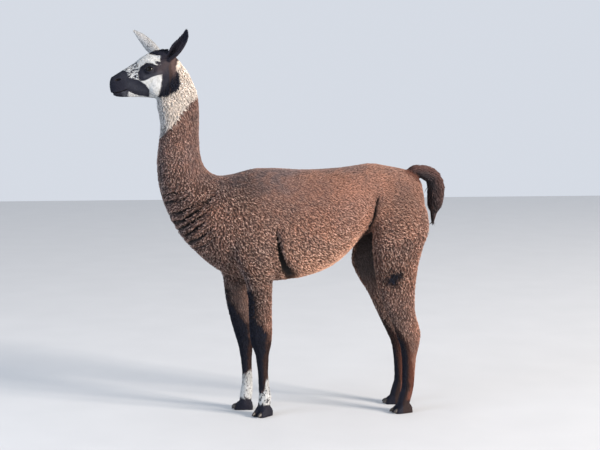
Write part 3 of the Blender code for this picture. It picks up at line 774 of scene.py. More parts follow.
def leg_markings(places, part, marks):
    """Adds the markings of the legs to those of the rest."""
    x, z = places[:, 0], places[:, 2]
    for leg, middles in LEG_MIDDLES.items():
        own = is_part(part, *(f"{leg}_{name}" for name in LEG_PARTS))
        pair = leg.split("_")[0]
        half = np.interp(z, LEG_HEIGHTS[pair], LEG_HALVES[pair])
        forward = np.clip((np.interp(z, LEG_HEIGHTS[pair], middles) - x) / half, -1.2, 1.2)
        behind_top, front_top = DARK_TOPS[leg]
        dark = (behind_top + (front_top - behind_top) * (0.5 + 0.5 * forward) - z) * 40
        beyond_black = forward - np.interp(z, *np.array(LEG_BLACK[leg]).T)
        black = np.maximum(beyond_black * half, FOOT_BLACK - z) * CM * SOFT_EDGE
        dark = np.maximum(dark, (beyond_black + DARK_MARGIN) * half * 60)
        rust = smoothstep(-forward, -0.60, 0.25)
        if leg in SOCKS:
            behind_top, front_top = SOCKS[leg]
            top = behind_top + (front_top - behind_top) * smoothstep(forward, -0.5, 0.3)
            sock = np.minimum(top - z, z - SOCK_FOOT) * CM
            marks["white"] = np.where(own, sock, marks["white"])
            dark = np.minimum(dark, -sock)
            black = np.where(z > SOCK_FOOT, np.minimum(black, -sock * SOFT_EDGE), black)
            spotted = 0.30 + 0.45 * (1 - smoothstep(z, 0.10, 0.14)) * (leg == "front_left")
            marks["spots"] = np.where(own & (sock > -1), spotted, marks["spots"])
            rust *= FRONT_LEG_RUST
        else:
            rust = 0.15 + 0.85 * rust
            for middle, radius in STIFLE:
                stifle = radius - np.hypot(x - middle[0], z - middle[1])
                black = np.maximum(black, stifle * 13)
                dark = np.maximum(dark, (stifle + STIFLE_DARK) * 38)
                rust = rust * (1 - smoothstep(stifle, -0.045, -0.015))
        # Painted highlight: the rear edge of each leg is warmer where the light falls on it.
        lit_edge = smoothstep(-forward, 0.0, 0.9) * (0.95 if pair == "hind" else 0.7)
        for name, values in (("dark", dark), ("black", black), ("rust", rust), ("warm_and_lit", lit_edge)):
            marks[name] = np.where(own, values, marks[name])


def head_markings(places, normals, part, marks):
    """Adds the markings of the head and ears to those of the rest."""
    head = is_part(part, "head", "ear_left", "ear_right", "neck_upper") & (places[:, 2] > 1.40)
    here = places[head]
    black = [within(here, outline) for outline in (MUZZLE, EYE_PATCH, BAND_FRONT, BAND_BACK, BROW_DASH)]
    black.append(np.where(np.abs(here[:, 1]) < POLL_WIDTH, within(here, POLL_TUFT), -1.0))
    marks["black"][head] = np.max(black, axis=0) * CM
    marks["white"][head] = within(here, WHITE_FACE) * CM
    marks["dark"][head] = within(here, EAR_BAND) * 3 * CM
    marks["rust"][head] = HEAD_RUST
    marks["specks"][head] = smoothstep(within(here, FACE_SPECKS), -0.006, 0.004)
    streak = 0.75 * smoothstep(within(here, BAND_STREAK), -0.007, 0.009)
    *corner, amount = EYE_CORNER
    marks["streak"][head] = np.maximum(streak, amount * near(here, *corner))
    # Grey of the chin and greyed places, with painted highlights on the nose and under the eye.
    greys_and_highlights = GREYED_EYE_PATCH * (within(here, EYE_PATCH) > 0)
    for line, reach, amount in FACE_GREYS_AND_HIGHLIGHTS:
        greys_and_highlights = greys_and_highlights + amount * near(here, line, reach)
    marks["grey_and_highlight"][head] = np.maximum(smoothstep(within(here, CHIN), -0.003, 0.012), greys_and_highlights)
    near_ear, far_ear = is_part(part, "ear_left"), is_part(part, "ear_right")
    # Painted shade in the near ear's cup, and painted light along its back edge.
    marks["black"][near_ear] = (dot(normals, unit(np.array(NEAR_EAR_OPENING))) * 3 + 0.6)[near_ear]
    marks["dark"][near_ear] = 3.0
    *edge, amount = EAR_EDGE
    marks["streak"][near_ear] = (amount * near(places, *edge))[near_ear]
    for name, value in FAR_EAR_MARKS.items():
        marks[name][far_ear] = value


def soft_shades(places, normals, part, marks):
    """Adds the warm, pale and grey shades of the neck, trunk and thighs, painted sunlight and shade among
    them.
    """
    x, _, z = places.T
    legs = is_part(part, *LEG_PARTS)
    # The trunk is warmer low down: warmer hair, with painted sunlight.
    trunk = smoothstep(x, *TRUNK_X) * plateau(z, TRUNK_Z, TRUNK_TOP)
    trunk *= (1 - 0.35 * smoothstep(z, *FLANK_Z)) * (1 - 0.35 * smoothstep(x, *HIP_X))
    front = (1 - smoothstep(x, *FRONT_X)) * smoothstep(z, *FRONT_Z)
    on_legs = np.maximum(marks["warm_and_lit"], THIGH_WARMTH * trunk)
    marks["warm_and_lit"] = np.clip(np.where(legs, on_legs, TRUNK_WARMTH * trunk + FRONT_WARMTH * front), 0, 1)
    # Painted sunlight on the lower barrel.
    marks["pale"] = plateau(x, BELLY_FRONT, BELLY_BACK) * (1 - smoothstep(z, *BELLY_TOP)) * ~legs
    withers = smoothstep(z, *WITHERS_Z) * plateau(x, WITHERS_FRONT, WITHERS_BACK)
    ridge_of_back = smoothstep(z, *RIDGE_Z) * plateau(x, RIDGE_FRONT, RIDGE_BACK)
    # Painted shade: the neck and chest are greyer where they face forward, away from the light.
    fore = smoothstep(-normals[:, 0], 0.35, 0.95) * is_part(part, "neck_upper", "neck_lower", "chest")
    nape = (0.30 + 0.25 * smoothstep(x, *NAPE_X)) * smoothstep(z, *NAPE_Z) * (x < NAPE_END)
    marks["grey_and_shade"] = np.clip(WITHERS_GREY * withers + RIDGE_GREY * ridge_of_back + fore + nape, 0, 1)


def tail_markings(places, normals, part, marks):
    """Adds the markings of the tail and of the rump at its root."""
    x, _, z = places.T
    tail, rump = is_part(part, "tail"), is_part(part, "rump")
    marks["dark"][tail] = 0.9
    # Painted highlight: the tail is rust-brown where it faces up and back, towards the light.
    marks["rust"][tail] = TAIL_RUST_HIGHLIGHT * smoothstep(normals[:, 2] + 0.5 * normals[:, 0], -0.6, 0.9)[tail]
    marks["grey_and_shade"][tail] = TAIL_GREY
    marks["grey_and_highlight"][tail] = 0.22
    marks["dark"][rump] = ((x - TAIL_ROOT[0]) * 42 + (z - TAIL_ROOT[1]) * 56)[rump]
    marks["rust"][rump] = RUMP_RUST


def markings(places, normals, part):
    """How far each place is inside the coat's colours, in centimetres, and shares of its soft shades,
    painted light and shade among them.
    """
    x, _, z = places.T
    marks = {name: np.full(len(places), OUTSIDE) for name in ("cream", "white", "dark", "black")}
    for name in ("specks", "spots", "streak", "grey_and_highlight", "warm_and_lit", "rust", "light"):
        marks[name] = np.zeros(len(places))
    neck = is_part(part, "head", "neck_upper", "neck_lower")
    marks["cream"][neck] = (z - np.interp(x, *np.array(CREAM_EDGE).T))[neck] * 0.75 * CM
    # The painted light and shade go into the light mark.
    for middle, reach, amount in PAINTED_LIGHT_AND_SHADE:
        marks["light"] += amount * bell(np.hypot(x - middle[0], z - middle[1]), reach)
    leg_markings(places, part, marks)
    head_markings(places, normals, part, marks)
    soft_shades(places, normals, part, marks)
    tail_markings(places, normals, part, marks)
    marks["inner"] = inner_side(places, normals, part) * np.where(x < -0.1, 0.55, 1.0)
    marks["curl"] = curl_at(places, part) * (1 - 0.8 * marks["inner"])
    # The fold mark holds painted shadow in the folds of the skin, the nostrils and the mouth.
    _, marks["fold"] = fold_depth(places)
    for side in (-1, 1):
        marks["fold"] = np.maximum(marks["fold"], near(places, nostril_line(side), 0.0052))
    marks["fold"] = np.maximum(marks["fold"], 0.9 * near(places, MOUTH, 0.0022) * at_mouth(places))
    return marks


# Tufts.

# A style has the spacing of the roots, a tuft's length as a share of the coat's depth and beyond it, its
# width as a share of its length, how far it strays from the lie of the coat in radians, the spacing and
# pull of the locks it gathers in, and its number of rings.
Style = namedtuple("Style", "spacing share base slimness stray lock pull rings")
FLEECE = Style(0.0048, 0.75, 0.0075, 0.20, 0.48, 0.0085, 0.75, 2)
NAPE = Style(0.0046, 0.75, 0.0070, 0.21, 0.50, 0.0066, 0.60, 2)
THIGH = Style(0.0050, 0.80, 0.0075, 0.20, 0.45, 0.0085, 0.65, 2)
FORELOCK = Style(0.0030, 0.00, 0.0150, 0.11, 0.55, 0.0080, 0.55, 3)
SHORT = Style(0.0031, 0.00, 0.0068, 0.15, 0.15, 0.0, 0.0, 2)
SHANK = Style(0.0043, 1.10, 0.0060, 0.17, 0.30, 0.0080, 0.55, 2)
PLUME = Style(0.0044, 1.20, 0.0230, 0.085, 0.12, 0.0110, 0.30, 4)
COATS = {
    "coat_head": (("head",), "white_hair", SHORT),
    "coat_ear_left": (("ear_left",), "black_hair", SHORT),
    "coat_ear_right": (("ear_right",), "white_hair", SHORT),
    "coat_neck_upper": (("neck_upper",), "cream_wool", NAPE),
    "coat_neck_lower": (("neck_lower",), "brown_wool", FLEECE),
    "coat_chest": (("chest",), "brown_wool", FLEECE),
    "coat_barrel": (("barrel",), "brown_wool", FLEECE),
    "coat_rump": (("rump",), "brown_wool", FLEECE),
    "coat_tail": (("tail",), "brown_wool", PLUME),
}
for leg_name in LEGS:
    COATS[f"coat_{leg_name}_thigh"] = ((f"{leg_name}_upper_leg",), "brown_wool", THIGH)
    COATS[f"coat_{leg_name}_shank"] = ((f"{leg_name}_lower_leg", f"{leg_name}_foot"), "dark_hair", SHANK)
HALVED = ("coat_chest", "coat_barrel", "coat_rump", "coat_neck_lower", "coat_neck_upper")
LEVEL = ("coat_head", "coat_chest", "coat_barrel", "coat_rump", "coat_tail")  # mapped along the body


def upright_plane(flat):
    """Directions in the x-z plane as directions in space."""
    return np.column_stack([flat[:, 0], np.zeros(len(flat)), flat[:, 1]])


def lie_of_coat(places, part):
    """The way the hair points at each place, before it is laid along the skin."""
    x, _, z = places.T
    way = np.zeros_like(places)
    back = smoothstep(x, -0.62, -0.30)
    way[:, 0] = 0.12 + 0.88 * back
    way[:, 2] = -1.0 + 0.45 * back + 0.25 * smoothstep(x, -0.1, 0.15) - 0.45 * smoothstep(x, 0.22, 0.40)
    head = is_part(part, "head")
    way[is_part(part, *LEG_PARTS)] = LEG_LIE
    way[head] = HEAD_LIE
    way[head & (z < JAW_TOP)] = JAW_LIE
    way[is_part(part, "neck_upper")] = NECK_LIE
    for name, (root, tip) in EAR_LINES.items():
        way[is_part(part, name)] = np.array(tip) - root
    tail = is_part(part, "tail")
    _, passed = to_line(places[tail], TAIL_LINE)
    way[tail] = upright_plane(way_along(TAIL_LINE, passed))
    way = unit(way)
    flat = wavering(places)
    for fold in FOLDS:
        distance, passed = to_line(flat, fold.line)
        share = bell(distance, 0.020)[:, None]
        along = upright_plane(way_along(fold.line, passed))
        along *= np.where(along[:, 2] > 0, -1, 1)[:, None]
        way = way * (1 - share) + along * share
    return unit(way)


def laid(way, normals):
    """Directions, turned to run along the surface."""
    return unit(way - normals * dot(way, normals)[:, None])


Skin = namedtuple("Skin", "surface part flesh")
Roots = namedtuple("Roots", "places normals part depth")


def one_per_cell(places, size):
    """The numbers of the places that come first in their cell of a grid."""
    cells = np.floor(places / size).astype(np.int64)
    key = (cells[:, 0] * 1_000_003 + cells[:, 1]) * 1_000_003 + cells[:, 2]
    return np.sort(np.unique(key, return_index=True)[1])


def strewn(skin, numbers, spacing):
    """Roots strewn evenly over the skin of the numbered parts."""
    surface, part, flesh = skin
    corners = surface.triangles[np.isin(part[surface.triangles[:, 0]], numbers)]
    a, b, c = (surface.places[corners[:, k]] for k in range(3))
    area = np.linalg.norm(np.cross(b - a, c - a), axis=1) / 2
    reach = np.cumsum(area)
    count = int(TRIES * reach[-1] / spacing**2)
    chosen = np.searchsorted(reach, RANDOM.random(count) * reach[-1])
    share = RANDOM.random((count, 2))
    folded = share.sum(axis=1) > 1
    share[folded] = 1 - share[folded]
    weights = np.column_stack([1 - share.sum(axis=1), share])
    places = np.einsum("nk,nkd->nd", weights, surface.places[corners[chosen]])
    kept = one_per_cell(places, spacing)
    places = places[kept]
    normals = unit(np.einsum("nk,nkd->nd", weights[kept], surface.normals[corners[chosen[kept]]]))
    roots = Roots(places, normals, part[corners[chosen[kept], 0]], flesh.room_at(places))
    bare = bare_places(roots)
    return Roots(*(values[~bare] for values in roots))


def from_tail_line(places):
    """The way from the nearest point of the tail's middle line to each place."""
    line = upright_plane(np.array(TAIL_LINE))
    _, passed = to_line(places, line)
    shares = np.linspace(0, 1, len(line))
    return unit(places - np.column_stack([np.interp(passed, shares, column) for column in line.T]))


def bare_places(roots):
    """Roots that would cover an eye, a nostril, the mouth or a sole, and those in folds and creases."""
    own = on_animal(roots.places)
    bare = (own[:, 2] < 0.010) & (roots.normals[:, 2] < -0.3)
    for side in (-1, 1):
        distance, outside, _ = slit(own, side)
        bare |= (distance < EYE_RADIUS + 0.02) & (outside < 0.0026)
        distance, _ = to_line(own, nostril_line(side))
        bare |= distance < 0.0048
    distance, _ = to_line(own, MOUTH)
    bare |= (distance < 0.0034) & at_mouth(own, 0.005)
    bare |= is_part(roots.part, "tail") & (dot(from_tail_line(own), roots.normals) < TAIL_FACING)
    _, in_fold = fold_depth(own)
    return bare | (in_fold > BARE_FOLD)


def locks_of(places, spacing):
    """The number of the nearest of some evenly spread places, for each place, and how far it is."""
    leaders = one_per_cell(places, spacing)
    tree = KDTree(len(leaders))
    for number, leader in enumerate(leaders):
        tree.insert(places[leader], number)
    tree.balance()
    found = [tree.find(place)[1:] for place in places]
    return leaders, np.array([f[0] for f in found]), np.array([f[1] for f in found])


Tufts = namedtuple("Tufts", "roots middles tips widths normals part lock rings")


def grown(roots, style):
    """The middle lines of the tufts that grow from some roots."""
    count = len(roots.places)
    own = on_animal(roots.places)
    way = laid(lie_of_coat(own, roots.part), roots.normals)
    across = np.cross(roots.normals, way)
    _, in_fold = fold_depth(own)
    curl = curl_at(own, roots.part) * (1 - 0.8 * inner_side(own, roots.normals, roots.part))
    length = (style.base + style.share * roots.depth) * RANDOM.uniform(*LENGTHS, count)
    on_foot = np.where(is_part(roots.part, "foot"), FOOT_LENGTH, 1)
    length *= (1 - 0.55 * smoothstep(in_fold, 0.0, 0.4)) * on_foot
    if style.lock:
        length *= SMOOTH_LENGTH + (1 - SMOOTH_LENGTH) * curl
    room = np.where(is_part(roots.part, "tail"), np.minimum(2.0 * roots.depth, TAIL_ROOM), roots.depth)
    height = np.minimum(room * RANDOM.uniform(*HEIGHTS, count), 0.9 * length)
    height = np.maximum(height, 0.10 * length)
    turn = RANDOM.normal(0, style.stray, count)
    lock = RANDOM.random(count)
    if style.lock:
        # Each lock turns and stands as a whole, and is lower at its edge.
        leaders, leader, distance = locks_of(roots.places, style.lock)
        turn = (0.45 * turn + RANDOM.normal(0, style.stray, len(leaders))[leader]) * (0.22 + 0.88 * curl)
        height *= 1 - (0.04 + 0.42 * curl) * np.minimum(distance / style.lock, 1) ** 2
        height *= 1 - (0.22 * curl) * RANDOM.random(len(leaders))[leader]
        lock = RANDOM.random(len(leaders))[leader]
    way = way * np.cos(turn)[:, None] + across * np.sin(turn)[:, None]
    reach = np.sqrt(np.maximum(length**2 - height**2, 0))
    tips = roots.places + way * reach[:, None] + roots.normals * height[:, None]
    middles = roots.places + way * (0.30 * reach)[:, None] + roots.normals * (0.90 * height)[:, None]
    if style.lock:
        pull = (style.pull * (0.08 + 0.92 * curl) * RANDOM.uniform(*PULLS, count))[:, None]
        tips += (tips[leaders][leader] - tips) * pull
        middles += (middles[leaders][leader] - middles) * pull * 0.5
    sunk = roots.places - roots.normals * np.minimum(SUNK, 0.5 * length)[:, None]
    widths = length * style.slimness * RANDOM.uniform(*WIDTHS, count)
    return Tufts(sunk, middles, tips, widths, roots.normals, roots.part, lock, style.rings)


def tuft_pattern(rings):
    """One tuft's triangles, and where their corners lie on its patch."""
    levels = [0.10 + 0.75 * i / (rings - 1) for i in range(rings)]
    triangles, patch = [(0, 2, 1)], [((0, 0.10), (1, 0.10), (0.5, 0))]
    for ring in range(rings - 1):
        low, high = levels[ring], levels[ring + 1]
        for k in range(3):
            a, b = 3 * ring + k, 3 * ring + (k + 1) % 3
            left, right = k / 3, (k + 1) / 3
            triangles += [(a, b, b + 3), (a, b + 3, a + 3)]
            patch.append(((left, low), (right, low), (right, high)))
            patch.append(((left, low), (right, high), (left, high)))
    last = 3 * (rings - 1)
    for k in range(3):
        triangles.append((last + k, last + (k + 1) % 3, last + 3))
        patch.append(((k / 3, levels[-1]), ((k + 1) / 3, levels[-1]), ((k + 0.5) / 3, 1)))
    return np.array(triangles), np.array(patch)


def profile_of(rings):
    """How wide a tuft is at each of its rings, as a share of its width, and at its tip."""
    if rings < 4:
        return {2: [0.8, 0.85, 0.0], 3: [0.72, 1.0, 0.74, 0.0]}[rings]
    steps = np.arange(rings) / rings
    return [*(0.75 + 0.35 * np.sin(np.pi * steps) - 0.35 * steps**3), 0.0]


def tuft_corners(tufts):
    """The corners of each tuft: three for each ring on its middle line, a little crimped, and its tip."""
    count, rings = len(tufts.roots), tufts.rings
    profile = profile_of(rings)
    crimp = RANDOM.uniform(-0.45, 0.45, count) * tufts.widths * (rings < 4)
    twist = RANDOM.normal(0, 0.5, count)
    cos, sin = np.cos(twist)[:, None], np.sin(twist)[:, None]
    rows = []
    for i in range(rings + 1):
        t = i / rings
        centre = tufts.roots * (1 - t) ** 2 + tufts.middles * 2 * t * (1 - t) + tufts.tips * t * t
        if i == rings:
            rows.append(centre[:, None])
            continue
        tangent = unit((tufts.middles - tufts.roots) * (1 - t) + (tufts.tips - tufts.middles) * t)
        side = unit(np.cross(tufts.normals, tangent))
        up = np.cross(tangent, side)
        side, up = side * cos + up * sin, up * cos - side * sin
        centre = centre + side * (crimp * (-1) ** i * (i > 0))[:, None]
        half = (tufts.widths * profile[i] / 2)[:, None]
        corners = (centre + side * half, centre + up * half * 1.1, centre - side * half)
        rows.append(np.stack(corners, axis=1))
    return np.concatenate(rows, axis=1)


def tuft_mesh(name, tufts, charts):
    """A coat piece: a closed and tapered lock on each middle line."""
    places = tuft_corners(tufts)
    count, per_tuft = places.shape[:2]
    places = places.reshape(-1, 3)
    places[:, 2] = np.maximum(places[:, 2], 0.0006)
    triangles, patch = tuft_pattern(tufts.rings)
    corners = (triangles[None] + (np.arange(count) * per_tuft)[:, None, None]).reshape(-1, 3)
    mesh = mesh_from(name, places, corners)
    uv = charts[:, None, None] + (patch[None] - 0.5) * PATCH
    mesh.uv_layers.new(name=MAP_NAME).uv.foreach_set("vector", uv.astype(np.float32).ravel())
    for key, values in markings(on_animal(tufts.roots), tufts.normals, tufts.part).items():
        add_attribute(mesh, key, np.repeat(values, per_tuft))
    passed = [ring / tufts.rings for ring in range(tufts.rings) for _ in range(3)] + [1.0]
    add_attribute(mesh, "root", np.repeat(tufts.roots, per_tuft, axis=0))
    add_attribute(mesh, "tip", np.tile(passed, count))
    add_attribute(mesh, "tuft", np.repeat(RANDOM.random(count), per_tuft))
    add_attribute(mesh, "lock", np.repeat(tufts.lock, per_tuft))
    return mesh


def chart_of(roots, upright):
    """Each root's place on the unwrap of its part: round the part's middle line, and along it."""
    along_axis, others = (2, [0, 1]) if upright else (0, [1, 2])
    along = roots.places[:, along_axis]
    low, high = along.min(), along.max()
    bins = ((along - low) / (high - low + 1e-9) * CHART_BINS).astype(int)
    bins = np.clip(bins, 0, CHART_BINS - 1)
    means = np.zeros((CHART_BINS, 2))
    for number in np.unique(bins):
        means[number] = [roots.places[bins == number, axis].mean() for axis in others]
    centres = (np.arange(CHART_BINS) + 0.5) / CHART_BINS * (high - low) + low
    middle = np.column_stack([np.interp(along, centres, means[:, k]) for k in range(2)])
    offset = roots.places[:, others] - middle
    angle = np.arctan2(offset[:, 0], offset[:, 1] * (-1 if upright else 1))
    chart = np.column_stack([angle, along])
    low, high = chart.min(axis=0), chart.max(axis=0)
    return 0.01 + 0.98 * (chart - low) / np.maximum(high - low, 1e-9)


# Materials.


class Graph:
    """A material's nodes, joined by formulas."""

    def __init__(self, name):
        self.material = bpy.data.materials.new(name)
        self.material.use_nodes = True
        self.tree = self.material.node_tree
        self.shader = self.tree.nodes["Principled BSDF"]

    def node(self, kind, inputs=(), **settings):
        made = self.tree.nodes.new(kind)
        for key, value in settings.items():
            setattr(made, key, value)
        for socket, value in dict(inputs).items():
            self.put(made.inputs[socket], value)
        return made

    def put(self, socket, value):
        if isinstance(value, bpy.types.NodeSocket):
            self.tree.links.new(value, socket)
        elif isinstance(value, tuple) and socket.type == "RGBA":
            socket.default_value = (*value, 1)
        else:
            socket.default_value = value

    def attribute(self, name, output="Fac"):
        return self.node("ShaderNodeAttribute", attribute_name=name).outputs[output]

    def math(self, operation, *values):
        return self.node("ShaderNodeMath", dict(enumerate(values)), operation=operation).outputs[0]

    def times(self, first, second):
        return self.math("MULTIPLY", first, second)

    def linear(self, value, slope, start):
        return self.math("MULTIPLY_ADD", value, slope, start)

    def varied(self, value, amplitude):
        """A factor that varies about 1 with a value from 0 to 1."""
        return self.linear(self.math("SUBTRACT", value, 0.5), amplitude, 1.0)

    def scaled(self, colour, factor):
        return self.node("ShaderNodeVectorMath", {0: colour, 3: factor}, operation="SCALE").outputs[0]

    def ramp(self, value, low, high, start=0.0, end=1.0):
        inputs = {"Value": value, "From Min": low, "From Max": high, "To Min": start, "To Max": end}
        made = self.node("ShaderNodeMapRange", inputs, interpolation_type="SMOOTHSTEP")
        return made.outputs["Result"]

    def blend(self, share, first, second):
        made = self.node("ShaderNodeMix", {0: share}, data_type="RGBA")
        self.put(made.inputs[6], first)
        self.put(made.inputs[7], second)
        return made.outputs[2]

    def noise(self, where, scale, detail=3.0, roughness=0.55):
        inputs = {"Vector": where, "Scale": scale, "Detail": detail, "Roughness": roughness}
        return self.node("ShaderNodeTexNoise", inputs).outputs["Fac"]

    def bump(self, height, strength, distance):
        inputs = {"Height": height, "Strength": strength, "Distance": distance}
        return self.node("ShaderNodeBump", inputs).outputs["Normal"]

    def finish(self, **values):
        for name, value in values.items():
            self.put(self.shader.inputs[name.replace("_", " ")], value)
        return self.material


def object_coordinates(graph):
    return graph.node("ShaderNodeTexCoord").outputs["Object"]


def brown_wool(graph, where, grey_and_shade):
    """The brown of the coat, before its markings."""
    # The warm share holds warmer hair and painted sunlight on the trunk and the legs' rear edges.
    brown = graph.blend(graph.attribute("warm_and_lit"), BROWN, BROWN_WARM)
    # Painted sunlight on the lower barrel.
    brown = graph.blend(graph.attribute("pale"), brown, BROWN_SUNLIT)
    # Grey hair, and painted shade where the neck and chest face forward.
    brown = graph.blend(grey_and_shade, brown, BROWN_GREY)
    brown = graph.blend(graph.ramp(graph.noise(where, 7.0, 2.0), 0.35, 0.65, 0.0, 0.38), brown, BROWN_GREY)
    brown = graph.blend(graph.ramp(graph.noise(where, 24.0, 3.0), 0.42, 0.66, 0.0, 0.28), brown, BROWN_WARM)
    # Painted light and shade scale the brown.
    brown = graph.scaled(brown, graph.math("ADD", graph.attribute("light"), 1.0))
    return graph.blend(graph.attribute("inner"), brown, BROWN_INNER)


def white_hair(graph, where):
    """The white of the face, with faint upright streaks."""
    upright = graph.node("ShaderNodeVectorMath", {0: where, 1: (1.0, 1.0, 0.3)}, operation="MULTIPLY")
    faint = graph.ramp(graph.noise(upright.outputs[0], 150.0, 3.0), 0.46, 0.64, 0.0, 0.60)
    return graph.blend(faint, WHITE, WHITE_GREY)


def black_share(graph, where, ragged):
    """How black the coat is: within the black markings, and in specks and spots."""
    black = graph.ramp(graph.math("ADD", graph.attribute("black"), graph.times(ragged, 0.25)), -0.12, 0.12)
    for name, scale, reach in (("specks", 140.0, 0.14), ("spots", 95.0, 0.12)):
        share = graph.attribute(name)
        spots = graph.ramp(graph.linear(share, reach, graph.noise(where, scale, 1.5)), 0.640, 0.665)
        black = graph.math("MAXIMUM", black, graph.times(spots, graph.ramp(share, 0.02, 0.4)))
    return black


def marked_colour(graph, where):
    """The coat's colour, with its markings, at a place."""
    ragged = graph.linear(graph.noise(where, 55.0, 4.0, 0.7), 2.6, -1.3)
    grey_and_shade, rust = graph.attribute("grey_and_shade"), graph.attribute("rust")
    colour = brown_wool(graph, where, grey_and_shade)
    grain = graph.ramp(graph.noise(where, 140.0, 2.0), 0.42, 0.62)
    # The cream greys with the grey mark, painted shade where the neck faces forward among it.
    cream = graph.blend(grey_and_shade, graph.blend(grain, CREAM_DEEP, CREAM), CREAM_GREY)
    dark = graph.blend(rust, DARK, DARK_WARM)
    white = white_hair(graph, where)
    for name, over, softness in (("cream", cream, 1.2), ("white", white, 0.25), ("dark", dark, 2.2)):
        depth = graph.math("ADD", graph.attribute(name), graph.times(ragged, softness))
        colour = graph.blend(graph.ramp(depth, -softness / 2, softness / 2), colour, over)
    deepest = graph.blend(graph.ramp(rust, 0.1, 0.5), BLACK, BLACK_WARM)
    colour = graph.blend(black_share(graph, where, ragged), colour, deepest)
    colour = graph.blend(graph.attribute("streak"), colour, STREAK)
    # Grey of the chin and face, with painted highlights on the nose and under the eye.
    return graph.blend(graph.times(graph.attribute("grey_and_highlight"), 0.35), colour, CHIN_GREY)


def skin_material():
    """Skin and underwool: the coat's colour, darker between the tufts with the skin's own dark colour and
    painted shade, and painted shadow in the folds.
    """
    graph = Graph("skin")
    where = object_coordinates(graph)
    # The dark skin and painted shade between the tufts, more under curlier wool.
    cover = graph.linear(graph.attribute("curl"), 0.50, 0.12)
    colour = graph.blend(cover, marked_colour(graph, where), SKIN_SHADE)
    # Painted shadow in the folds, the nostrils and the mouth.
    colour = graph.blend(graph.ramp(graph.attribute("fold"), 0.1, 0.6), colour, FOLD_SHADE)
    fine = graph.noise(where, 420.0, 3.0)
    return graph.finish(
        Base_Color=graph.blend(graph.ramp(fine, 0.3, 0.7, 0.0, 0.30), colour, SKIN_GRAIN),
        Roughness=graph.ramp(fine, 0.3, 0.7, 0.6, 0.85),
        Normal=graph.bump(graph.noise(where, 260.0, 4.0), 0.5, 0.002),
        Specular_IOR_Level=0.18,
    )


def coat_material():
    """Hair with darker roots, partly painted shade that deepens in curlier wool, and lighter tips, partly
    painted highlights; it varies by tuft, by lock and by clump.
    """
    graph = Graph("coat")
    root = graph.attribute("root", "Vector")
    tip, tuft, lock, curl = (graph.attribute(name) for name in ("tip", "tuft", "lock", "curl"))
    colour = marked_colour(graph, root)
    not_black = graph.ramp(graph.attribute("black"), -0.3, 0.3, 1.0, 0.0)
    not_dark = graph.ramp(graph.attribute("dark"), -0.5, 0.8, 1.0, 0.0)
    # Lighter tips: bleached hair with painted highlights.
    light_hair = graph.ramp(tuft, 0.40, 1.0, 0.0, graph.linear(curl, 0.85, 0.12))
    lit = graph.times(graph.times(graph.ramp(tip, 0.35, 1.0), light_hair), graph.times(not_black, not_dark))
    colour = graph.blend(lit, colour, graph.blend(0.7, colour, BROWN_TIP))
    pale = graph.ramp(graph.attribute("cream"), -0.5, 0.5, 0.0, 0.85)
    # Darker roots: darker hair with painted shade between the tufts, deeper in curlier wool.
    shade = graph.ramp(tip, 0.0, 0.75, graph.linear(curl, -0.62, 0.80), 1.0)
    shade = graph.math("MAXIMUM", shade, pale)
    clump = graph.noise(root, 85.0, 2.0)
    for value, in_wool, at_least in ((lock, 0.75, 0.06), (tuft, 0.20, 0.12), (clump, 1.30, 0.10)):
        shade = graph.times(shade, graph.varied(value, graph.linear(curl, in_wool, at_least)))
    # Painted shadow in the folds, the nostrils and the mouth.
    shade = graph.times(shade, graph.ramp(graph.attribute("fold"), 0.02, BARE_FOLD, 1.0, 0.14))
    strands = graph.noise(object_coordinates(graph), 900.0, 2.0)
    return graph.finish(
        Base_Color=graph.scaled(colour, shade),
        Roughness=graph.ramp(strands, 0.3, 0.7, 0.68, 0.90),
        Normal=graph.bump(strands, 0.35, 0.0006),
        Sheen_Weight=0.03,
        Sheen_Roughness=0.5,
        Specular_IOR_Level=0.17,
    )


def eye_material():
    """A dark brown iris with a level pupil, under a wet cornea."""
    graph = Graph("eye")
    along = graph.math("POWER", graph.times(graph.attribute("across"), 1.55), 2.0)
    upwards = graph.math("POWER", graph.times(graph.attribute("upwards"), 3.2), 2.0)
    outside_pupil = graph.ramp(graph.math("ADD", along, upwards), 0.85, 1.1)
    fibres = graph.noise(object_coordinates(graph), 900.0, 4.0)
    iris = graph.blend(fibres, IRIS_DARK, IRIS_LIGHT)
    return graph.finish(
        Base_Color=graph.blend(outside_pupil, PUPIL, iris),
        Roughness=graph.ramp(fibres, 0.2, 0.8, 0.12, 0.18),
        Specular_IOR_Level=0.14,
    )


def horn_material():
    graph = Graph("nail_horn")
    bands = graph.noise(object_coordinates(graph), 160.0, 4.0, 0.7)
    return graph.finish(
        Base_Color=graph.blend(bands, HORN_DARK, HORN_LIGHT),
        Roughness=graph.ramp(bands, 0.3, 0.7, 0.35, 0.6),
        Normal=graph.bump(bands, 0.4, 0.0015),
    )


def floor_material():
    graph = Graph("floor")
    mottle = graph.noise(object_coordinates(graph), 3.0, 5.0)
    colour = graph.blend(mottle, FLOOR_DARK, FLOOR_LIGHT)
    return graph.finish(Base_Color=colour, Roughness=graph.ramp(mottle, 0.2, 0.8, 0.75, 0.9))


# Pieces.


def add_forelock(skin, material):
    """Longer hair that stands between the ears."""
    roots = strewn(skin, part_numbers("head"), FORELOCK.spacing)
    own = on_animal(roots.places)
    kept = (within(own, POLL_TUFT) > 0.004) & (np.abs(own[:, 1]) < 0.034)
    roots = Roots(*(values[kept] for values in roots))
    roots = roots._replace(depth=np.full(len(roots.places), 0.005))
    mesh = tuft_mesh("coat_forelock", grown(roots, FORELOCK), chart_of(roots, False))
    shown("coat_forelock", mesh, material)


